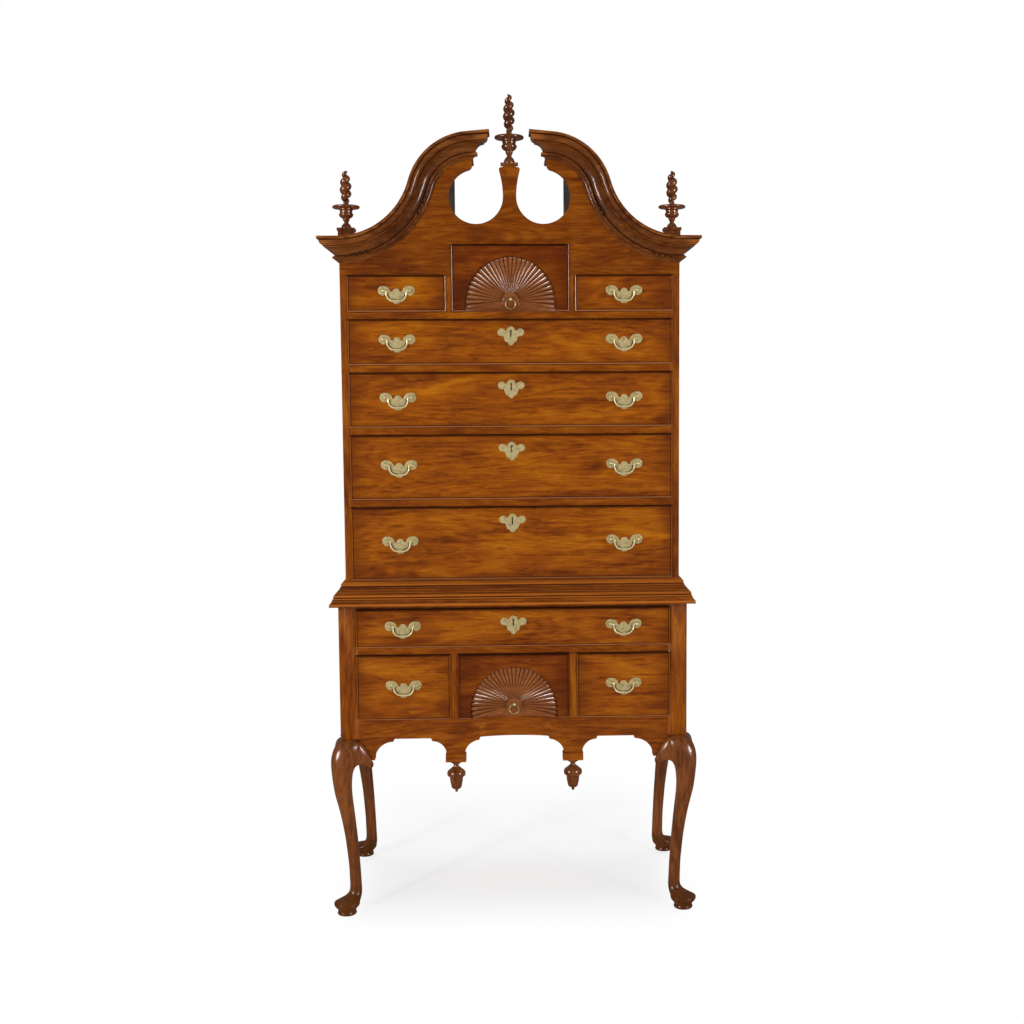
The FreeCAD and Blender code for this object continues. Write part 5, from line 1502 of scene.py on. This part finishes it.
@dataclass
class Fan:
    """A carved fan in the hollow of a drawer's front.

    Its rim is round about a centre that is rise above the drawer's edge, and its rays run
    out from a point that is spring above that edge.
    """

    shop: Shop
    drawer: str
    radius: float
    rays: int
    rise: float = 23.5 * MM
    spring: float = 31.0 * MM
    inset: float = 3.0 * MM
    depth: float = 22.0 * MM
    room: float = 3.0 * MM
    lip: float = 7.0 * MM
    pitch: float = math.radians(6.6)
    hub: float = 21.5 * MM
    hub_flare: float = 12.0 * MM
    tuck: float = 1.0 * MM
    under: float = 0.6 * MM
    rim_gap: float = 0.8 * MM
    shaded: float = 16.0 * MM
    trim: float = 0.4 * MM

    def __post_init__(self) -> None:
        """Work out the hollow, a part of a ball, from where the drawer is."""
        low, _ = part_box(self.drawer)
        half = self.radius - self.inset
        self.level = low.z + self.trim
        self.hollow = (half ** 2 + self.depth ** 2) / (2 * self.depth)
        front = low.y + self.lip + self.depth + self.room
        self.centre = Vector((0.0, front - self.hollow, low.z + self.rise))

    def build(self) -> None:
        """Carve the rays, the hub and the plain ends, and put them on the drawer."""
        piece = joined(self.drawer + "_fan", [self._rays(), self._hub(), self._plain_ends()])
        smooth(tidy(cut_level(piece, self.level, Keep.OVER), 1e-7), 50.0)
        lay_whole_grain(piece, ACROSS, 31)
        self.shop.place(dress(piece, CARVED), self.drawer, "cherry")

    def _sunk(self, x: float, z: float, height: float) -> Spot:
        """Return a point at a height over the hollow, from x and z about the rim's centre."""
        back = math.sqrt(self.hollow ** 2 - x ** 2 - max(z, 0.0) ** 2)
        return x, self.centre.y + back - height, self.centre.z + z

    def _rays(self) -> bpy.types.Object:
        """Carve one ray, then repeat it round the arc and sink it into the hollow."""
        ray = self._ray()
        holder = new_piece(self.drawer + "_rays", [(0.0, 0.0, 0.0)], [])
        apply_tree(holder, fan_tree(), {
            "Ray": ray, "Count": self.rays, "Pitch": self.pitch, "Hollow": self.hollow,
            "Radius": self.radius, "Raised": self.spring - self.rise, "Centre Y": self.centre.y,
            "Centre Z": self.centre.z, "Wood": CARVED.material()})
        made = baked(holder)
        bpy.data.objects.remove(ray)
        return tidy(made, 1e-7)

    def _ray(self, across: int = 12, along: int = 26) -> bpy.types.Object:
        """Carve one ray, lying along X with its crest to the front.

        Args:
            across: steps from groove to groove.
            along: steps from the hub to the round nose.

        Returns:
            The ray, with the depth of its grooves and its painted shade towards the hub stored.
        """
        start, end = self.hub - self.tuck, self.radius - self.rim_gap
        slant = math.tan(self.pitch / 2)
        section = [(2 * j / across - 1, True) for j in range(across + 1)]
        section += [(1.0, False), (-1.0, False)]
        rows = []
        for i in range(along + 1):
            share = i / along
            nose = math.sqrt(max(0.0, 1 - max(0.0, (share - NOSE_FROM) / (1 - NOSE_FROM)) ** 3))
            row = []
            for v, front in section:
                tip = end * (1 - NOSE_ROUND * slant * (1 - math.sqrt(1 - 0.97 * v * v)))
                r = start + (tip - start) * (1 - (1 - share) ** 1.5)
                wide = r * slant
                height = wide * (CREST * math.sqrt(max(0.0, 1 - v * v)) + BASE) * nose
                row.append((r, -height if front else self.under, v * wide))
            rows.append(row)
        made = lofted(self.drawer + "_ray", rows, capped=True)
        spots = points_of(made.data)
        across_share = np.abs(spots[:, 2]) / (spots[:, 0] * slant)
        groove = np.clip((across_share - GROOVE_FROM) / (1 - GROOVE_FROM), 0.0, 1.0) ** 2
        # Painted shade on the ray towards the hub, over the shaded width.
        inner = np.clip((start + self.shaded - spots[:, 0]) / self.shaded, 0.0, 1.0) * 0.5
        return lay(made, "deep", Laid.NUMBER, np.maximum(groove, inner))

    def _hub(self, steps: int = 28, foot: int = 9) -> bpy.types.Object:
        """Carve the arched hub with its raised border, flaring towards the drawer's edge.

        Args:
            steps: steps round its arch.
            foot: steps down each side of it.

        Returns:
            The hub.
        """
        raised, drop = self.spring - self.rise, self.spring
        right = [(self.hub + self.hub_flare * (1 - k / foot) ** 1.6, -drop + drop * k / foot)
                 for k in range(foot)]
        top = [(self.hub * math.cos(math.pi * k / steps), self.hub * math.sin(math.pi * k / steps))
               for k in range(steps + 1)]
        edge = right + top + [(-x, z) for x, z in reversed(right)]
        rows = []
        for inset, height in stretched(BORDER, MM, MM):
            row = []
            for x, z in edge:
                share = max(0.0, 1 - inset / math.hypot(x, max(z, 0.0)))
                row.append(self._sunk(x * share, (z * share if z > 0 else z) + raised, height))
            rows.append(row)
        return self._plain(lofted(self.drawer + "_hub", rows, capped=True))

    def _plain_ends(self, steps: int = 20) -> bpy.types.Object:
        """Carve the two plain wedges between the lowest rays and the drawer's edge."""
        lowest = (self.rays - 1) / 2 * self.pitch - math.pi / 2
        pieces = []
        for side in (-1, 1):
            rows = []
            for k in range(steps + 1):
                x = self.hub + (0.985 * self.radius - self.hub) * k / steps
                top = self.spring - self.rise - x * math.tan(lowest)
                rows.append([self._sunk(side * x, max(z, -self.rise), height * MM) for z, height in (
                    (top, 1.8), (-self.rise, 1.8), (-self.rise, -0.6), (top, -0.6))])
            pieces.append(lofted("%s_end_%d" % (self.drawer, side), rows, capped=True))
        return self._plain(joined(self.drawer + "_ends", pieces))

    @staticmethod
    def _plain(piece: bpy.types.Object) -> bpy.types.Object:
        """Store that no point of a piece lies deep in a groove."""
        return lay(piece, "deep", Laid.NUMBER, np.zeros(len(piece.data.vertices)))


# ---- Brasses --------------------------------------------------------------------------
# Outlines in millimetres: half of each plate, and each post's half section.
PLATE = ((0.0, 16.2), (
    ((5.6, 14.4), (8.6, 10.0)), ((12.5, 7.6), (16.0, 11.5)), ((22.0, 19.6), (32.0, 22.6)),
    ((48.0, 12.0), (38.5, -1.6)), ((32.0, -1.8), (28.5, 2.4)), (25.5, -2.0),
    ((23.5, -11.5), (16.0, -17.5)), ((13.0, -18.6), (10.0, -18.2)), ((7.5, -21.4), (0.0, -22.6))))
KEY_PLATE = ((0.0, 17.7), (
    ((6.8, 15.2), (11.0, 8.5)), ((14.0, 6.8), (17.0, 8.6)), ((35.0, 1.6), (24.0, -8.2)),
    ((21.5, -8.4), (19.5, -8.0)), ((17.5, -14.0), (15.0, -20.0)), ((12.5, -23.4), (9.0, -24.0)),
    ((6.0, -29.0), (0.0, -32.5))))
KEYHOLE = ((1.8, -10.0), ((1.8, 3.8), ((0.0, 8.6), (-1.8, 3.8)), (-1.8, -10.0)))
NAIL = ((0.0, 0.0), (0.7, 0.14), (1.15, 0.5), (1.4, 1.3), (0.0, 1.3))
EYE_POST = ((0.0, -4.6), (((3.25, -3.25), (4.6, 0.0)), ((4.1, 2.1), (2.6, 3.6)), (2.6, 4.6),
                          (4.4, 5.6), (5.4, 7.4), (5.4, 9.0)))
BAIL_POST = ((0.0, -4.8), (((3.3, -3.4), (4.7, 0.0)), ((4.2, 2.1), (2.7, 3.8)), (2.6, 4.6),
                           (4.0, 5.0), (4.6, 5.6), (4.6, 6.4)))
# The back end of a post with its nut: radius, and distance from the end.
NUT = ((2.2, 4.9), (6.0, 4.9), (6.0, 1.9), (5.2, 1.4), (2.2, 1.4), (2.2, 0.4), (1.6, 0.0), (0.0, 0.0))
# The right half of a bail's bow and of the painted shadow inside it, as shares of its width and drop.
BOW = ((0.30, -1.0), ((0.74, -0.80), (1.0, -0.47)))
BAIL_SHADOW = ((0.30, -1.0), ((0.78, -0.82), (1.0, -0.47)))


def in_metres(points: Sequence[Point]) -> list[Point]:
    """Return points given in millimetres as metres."""
    return list(stretched(points, MM, MM))


def both_sides(right: Sequence[Point]) -> list[Point]:
    """Return an open outline from its right half, which starts on the middle."""
    return [(-x, z) for x, z in reversed(right[1:])] + list(right)


def round_hole(x: float, z: float, radius: float) -> list[Point]:
    """Return a round hole's outline."""
    return [(x + radius * math.cos(angle), z + radius * math.sin(angle)) for angle in round_turn(16)]


@dataclass
class Brasses:
    """Back plates, posts, bails, key plates, locks and ring pulls of one drawer."""

    shop: Shop
    drawer: str
    plate_thick: float = 1.6 * MM
    rounding: float = 0.45 * MM
    span: float = 72.0 * MM
    post_rise: float = 10.3 * MM
    post_hole: float = 2.4 * MM
    standoff: float = 8.0 * MM
    bail_end: float = 8.3 * MM
    bail_bend: float = 4.5 * MM
    bail_corner: float = 1.3 * MM
    swell: float = 0.14
    shadow_inside: Span = (11.6 * MM, 5.2 * MM)
    shadow_top: float = 5.5 * MM
    shadow_radii: Span = (0.35 * MM, 0.85 * MM)
    bolt_top: float = 2.3 * MM
    key_drop: float = 33.0 * MM
    nails: Span = (13.5 * MM, -27.5 * MM)
    nail_rise: float = 1.2 * MM
    ring_share: float = 0.84

    def build(self) -> None:
        """Cast and fit every brass of the drawer."""
        names = self.shop.frame["bodies"]
        ring, bolt = self.drawer + "_ring", self.drawer + "_lock_bolt"
        parts: list[bpy.types.Object] = []
        posts: list[Vector] = []
        for bail in self._bails():
            parts.append(self._pull(bail, posts))
        if ring in names:
            posts.append(self._ring(ring))
        if bolt in names:
            parts += self._lock(bolt)
        parts.append(self._posts(posts, EYE_POST if ring in names else BAIL_POST))
        whole = joined(self.drawer + "_fittings", parts)
        self.shop.place(whole, self.drawer, "brass", self.drawer + "_brasses")

    def _bails(self) -> list[str]:
        """Return the names of the drawer's bails."""
        names = ["%s_%s_bail" % (self.drawer, side) for side in ("left", "right")]
        return [name for name in names if name in self.shop.frame["bodies"]]

    def _cast(self, name: str, loops: Sequence[Sequence[Point]], middle: Vector) -> bpy.types.Object:
        """Cast one plate of old brass from its outline and its holes."""
        return dress(cast_plate(name, loops, middle, self.plate_thick, self.rounding), OLD_BRASS)

    def _pull(self, bail: str, posts: list[Vector]) -> bpy.types.Object:
        """Cast a back plate and bend its bail.

        Args:
            bail: the bail's body.
            posts: the places of the drawer's posts, to which this pull's are added.

        Returns:
            The plate, with the painted shadow that its bail casts on it.
        """
        low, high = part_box(bail)
        thin = (high.y - low.y) / 2
        axis = Vector(((low.x + high.x) / 2, (low.y + high.y) / 2, high.z - thin))
        face = axis.y + self.standoff
        holes = [round_hole(side * self.span / 2, self.post_rise, self.post_hole) for side in (-1, 1)]
        outline = in_metres(mirrored_outline(traced(*PLATE)))
        made = self._cast(bail + "_plate", [outline] + holes,
                          Vector((axis.x, face, axis.z - self.post_rise)))
        posts += [axis + Vector((side * self.span / 2, 0, 0)) for side in (-1, 1)]
        end, drop = (high.x - low.x) / 2, axis.z - low.z
        self._bail(bail, axis, end, drop - thin, thin)
        # The bail's painted shadow on its plate.
        line = self._line(bail, Vector((axis.x, face - self.plate_thick, axis.z)), end, drop)
        return joined(bail + "_back", [made, line])

    @staticmethod
    def _swept(name: str, axis: Vector, right: Sequence[Point], radii: Sequence[float],
               around: int) -> bpy.types.Object:
        """Sweep a wire along an outline's right half and its mirror image."""
        path = [axis + Vector((x, 0, z)) for x, z in both_sides(right)]
        return wire(name, path, radii, around)

    def _line(self, bail: str, axis: Vector, end: float, drop: float) -> bpy.types.Object:
        """Lay a dark line on the plate inside its bail: a painted shadow of the bail.

        Args:
            bail: the bail's body.
            axis: the middle of the bail's axis, on the plate.
            end: half the bail's length.
            drop: how far the bail hangs down.

        Returns:
            The painted shadow.
        """
        half, low = end - self.shadow_inside[0], drop - self.shadow_inside[1]
        right = traced((0.0, -low), stretched(BAIL_SHADOW, half, low) + ((half, -self.shadow_top),), 8)
        least, more = self.shadow_radii
        radii = [least + more * min(1.0, abs(x) / (0.8 * half)) for x, _ in both_sides(right)]
        return dress(self._swept(bail + "_line", axis, right, radii, 8), PAINTED_SHADOW)

    def _bail(self, bail: str, axis: Vector, end: float, drop: float, thin: float) -> None:
        """Bend one bail, thicker at the bottom, on its own body.

        Args:
            bail: the bail's body.
            axis: the middle of its axis.
            end: half its length.
            drop: how far its middle line hangs down.
            thin: its wire's radius.
        """
        half, bend, corner = end - self.bail_end, self.bail_bend, self.bail_corner
        right = traced((0.0, -drop), stretched(BOW, half, drop) + (
            (half, -bend), ((half + corner, -corner), (half + bend, 0.0)), (end, 0.0)), 8)
        radii = []
        for x, z in both_sides(right):
            middle = max(0.0, 1 - abs(x) / (BOW[0][0] * half))
            radii.append(thin * (1.0 + self.swell * (middle - max(0.0, -z / drop))))
        made = dress(self._swept(bail + "_wire", axis, right, radii, 14), RUBBED_BRASS)
        self.shop.place(made, bail, "brass", bail)

    def _ring(self, ring: str, around: int = 56, across: int = 14) -> Vector:
        """Forge the ring pull on its own body.

        Args:
            ring: the ring's body.
            around: steps round the ring.
            across: how many sides its wire has.

        Returns:
            Where the ring's post stands.
        """
        low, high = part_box(ring)
        thin = self.ring_share * (high.y - low.y) / 2
        radius = (high.x - low.x) / 2 - thin
        centre = (low + high) / 2
        rows = []
        for a in round_turn(around):
            out = Vector((math.cos(a), 0, math.sin(a)))
            rows.append([centre + out * (radius + thin * math.cos(b))
                         + Vector((0, thin * math.sin(b), 0)) for b in round_turn(across)])
        made = smooth(lofted(ring + "_wire", rows, looped=True), 60.0)
        self.shop.place(dress(made, DULL_BRASS), ring, "brass", ring)
        return Vector((centre.x, centre.y, centre.z + radius))

    def _posts(self, posts: Sequence[Vector], outline: tuple) -> bpy.types.Object:
        """Repeat a post and its nut at every place, with a Geometry Nodes tree.

        Args:
            posts: where the posts stand.
            outline: a post's half section in front of its shank.

        Returns:
            The posts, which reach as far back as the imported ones.
        """
        _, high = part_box(self.drawer + "_brasses")
        end = (high.y - posts[0].y) / MM
        shape = traced(*outline, 5)
        shape += [(NUT[0][0], shape[-1][1])] + [(radius, end - back) for radius, back in NUT]
        post = turned(self.drawer + "_post", in_metres(shape), Vector((0, 0, 0)), 20)
        post.data.transform(Matrix.Rotation(-math.pi / 2, 4, "X"))
        smooth(tidy(post), 45.0)
        places = new_piece(self.drawer + "_posts", posts, [])
        apply_tree(places, fitting_tree(), {"Fitting": post, "Brass": OLD_BRASS.material()})
        made = baked(places)
        bpy.data.objects.remove(post)
        return smooth(made, 45.0)

    def _lock(self, bolt: str) -> list[bpy.types.Object]:
        """Cast the key plate with its nails, the lock's case and its bolt.

        Args:
            bolt: the bolt's body.

        Returns:
            What stays on the drawer: the key plate, the case and the nails.
        """
        _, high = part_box(bolt)
        middle = Vector((0.0, self._face(), high.z + self.bolt_top - self.key_drop))
        loops = [in_metres(mirrored_outline(traced(*KEY_PLATE))), in_metres(traced(*KEYHOLE, 14))]
        plate = self._cast(self.drawer + "_key_plate", loops, middle)
        nails = []
        for rise in self.nails:
            nail = turned(self.drawer + "_nail", in_metres(NAIL), Vector(), 12)
            place = middle + Vector((0, -self.plate_thick - self.nail_rise, rise))
            nail.data.transform(Matrix.Translation(place) @ Matrix.Rotation(-math.pi / 2, 4, "X"))
            nails.append(dress(smooth(tidy(nail)), OLD_BRASS))
        sliding = self.shop.copy_of(bolt + "_bar", self.shop.solids(bolt, 0.3 * MM))
        self.shop.place(dress(sliding, OLD_BRASS), bolt, "brass", bolt)
        return [plate, self._lock_case()] + nails

    def _face(self) -> float:
        """Return the depth of the drawer's face."""
        low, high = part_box(self._bails()[0])
        return (low.y + high.y) / 2 + self.standoff

    def _lock_case(self) -> bpy.types.Object:
        """Copy the lock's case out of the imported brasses: the widest fitting on the middle."""
        inner = []
        for solid in self.shop.solids(self.drawer + "_brasses"):
            low, high = solid.box()
            if abs(low[0] + high[0]) < 20 * MM and high[1] - low[1] > 5 * MM:
                inner.append((high[0] - low[0], solid))
        _, case = max(inner, key=lambda entry: entry[0])
        return dress(self.shop.copy_of(self.drawer + "_case", [case]), OLD_BRASS)


# ---- Studio ---------------------------------------------------------------------------
class Shown(Enum):
    """How a lamp is seen by the piece."""

    SOFTLY = "lights it"
    MIRRORED = "is mirrored in its varnish"


@dataclass(frozen=True)
class Lamp:
    """A soft lamp: where it hangs, what it points at, its size and its power."""

    name: str
    spot: Spot
    aim: Spot
    size: Span
    power: float
    shown: Shown = Shown.SOFTLY

    def hang(self) -> None:
        """Hang the lamp, so that it only lights or is only mirrored."""
        data = bpy.data.lights.new(self.name, "AREA")
        data.shape = "RECTANGLE"
        data.size, data.size_y = self.size
        data.energy = self.power
        lamp = bpy.data.objects.new(self.name, data)
        lamp.location = self.spot
        lamp.visible_glossy = self.shown is Shown.MIRRORED
        lamp.visible_diffuse = self.shown is Shown.SOFTLY
        lamp.rotation_mode = "QUATERNION"
        lamp.rotation_quaternion = (Vector(self.aim) - Vector(self.spot)).to_track_quat("-Z", "Y")
        bpy.context.scene.collection.objects.link(lamp)


LAMPS = (
    Lamp("left_key", (-2.9, -3.6, 2.3), (0.0, -0.1, 1.1), (0.30, 0.30), 54.0),
    Lamp("right_key", (3.0, -3.5, 2.3), (0.0, -0.1, 1.1), (0.30, 0.30), 30.0),
    Lamp("left_light", (-2.7, -2.3, 2.1), (0.0, -0.1, 1.0), (0.75, 1.5), 14.0),
    Lamp("right_light", (2.7, -2.2, 2.1), (0.0, -0.1, 1.0), (0.75, 1.5), 12.0),
    Lamp("left_window", (-2.9, -2.6, 1.8), (0.0, -0.1, 1.2), (0.8, 1.8), 150.0, Shown.MIRRORED),
    Lamp("right_window", (2.9, -2.5, 1.8), (0.0, -0.1, 1.2), (0.8, 1.8), 125.0, Shown.MIRRORED),
    Lamp("top_light", (0.0, 0.2, 4.6), (0.0, 0.1, 0.0), (3.4, 2.6), 62.0),
    Lamp("back_light", (0.0, 3.0, 2.6), (0.0, 0.2, 1.2), (2.6, 1.6), 36.0))


@dataclass
class Studio:
    """The floor, the lamps, the pale surroundings and the camera."""

    stand_front: float = -0.24007
    lens_pixels: float = 1346.336
    picture: float = 1024.0
    sensor: float = 36.0
    eye: Spot = (-0.008768, -3.561412, 1.415224)
    yaw: float = -0.0368636
    pitch: float = -0.0904318
    roll: float = 0.0058778
    shift: float = 46.572
    floor: float = 9.0
    room: float = 0.36
    brighter: float = 0.62
    mirrored: float = 0.08

    def build(self) -> None:
        """Set the stage."""
        scene = bpy.context.scene
        scene.view_settings.view_transform = "Standard"
        self._camera(scene)
        self._world(scene)
        self._floor()
        for lamp in LAMPS:
            lamp.hang()

    def _camera(self, scene: bpy.types.Scene) -> None:
        """Put the camera at the viewer's eye."""
        data = bpy.data.cameras.new("camera")
        data.sensor_width = self.sensor
        data.lens = self.lens_pixels / self.picture * self.sensor
        data.shift_x = -self.shift / self.picture
        camera = bpy.data.objects.new("camera", data)
        turn = (Matrix.Rotation(self.yaw, 4, "Z") @ Matrix.Rotation(self.pitch, 4, "X")
                @ Matrix.Rotation(self.roll, 4, "Y") @ Matrix.Rotation(math.pi / 2, 4, "X"))
        spot = Vector(self.eye) + Vector((0, self.stand_front, 0))
        camera.matrix_world = Matrix.Translation(spot) @ turn
        scene.collection.objects.link(camera)
        scene.camera = camera

    def _world(self, scene: bpy.types.Scene) -> None:
        """Make the surroundings: white to look at, and a dim room in front of the piece."""
        world = bpy.data.worlds.new("room")
        world.use_nodes = True
        world.node_tree.nodes.clear()
        g = Graph(world.node_tree)
        path = g.node("ShaderNodeLightPath")
        way = g.node("ShaderNodeTexCoord", None, None, "Generated")
        behind, glossy = g.apart(way, "Y").rise(-0.15, 0.55), path.out("Is Glossy Ray")
        level = (self.room + self.brighter * behind) * (1.0 - glossy) + self.mirrored * behind * glossy
        level = level.most(path.out("Is Camera Ray"))
        sky = g.node("ShaderNodeBackground", None, {0: painted(WHITE), 1: level})
        g.node("ShaderNodeOutputWorld", None, {"Surface": sky})
        scene.world = world

    def _floor(self) -> None:
        """Lay a pale floor that fades into the surroundings."""
        size = self.floor
        corners = [(-size, -size, 0), (size, -size, 0), (size, size, 0), (-size, size, 0)]
        floor = dress(new_piece("floor", corners, [(0, 1, 2, 3)]), PaleFloor("pale_floor"))
        floor.visible_glossy = False


def main() -> None:
    """Dress the whole piece, from the legs up."""
    logging.basicConfig(level=logging.INFO, format="%(name)s: %(message)s")
    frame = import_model()
    shop = Shop(frame)
    Studio().build()
    Case(shop).build()
    Legs(shop).build()
    Turnings(shop).build()
    Drawers(shop).build()
    Fan(shop, "top_fan_drawer", 120.0 * MM, 31).build()
    Fan(shop, "stand_fan_drawer", 117.0 * MM, 33).build()
    for drawer in DRAWERS:
        Brasses(shop, drawer).build()
    LOG.info("%d pieces", shop.count)
    bpy.context.view_layer.update()


if __name__ == "__main__":
    main()
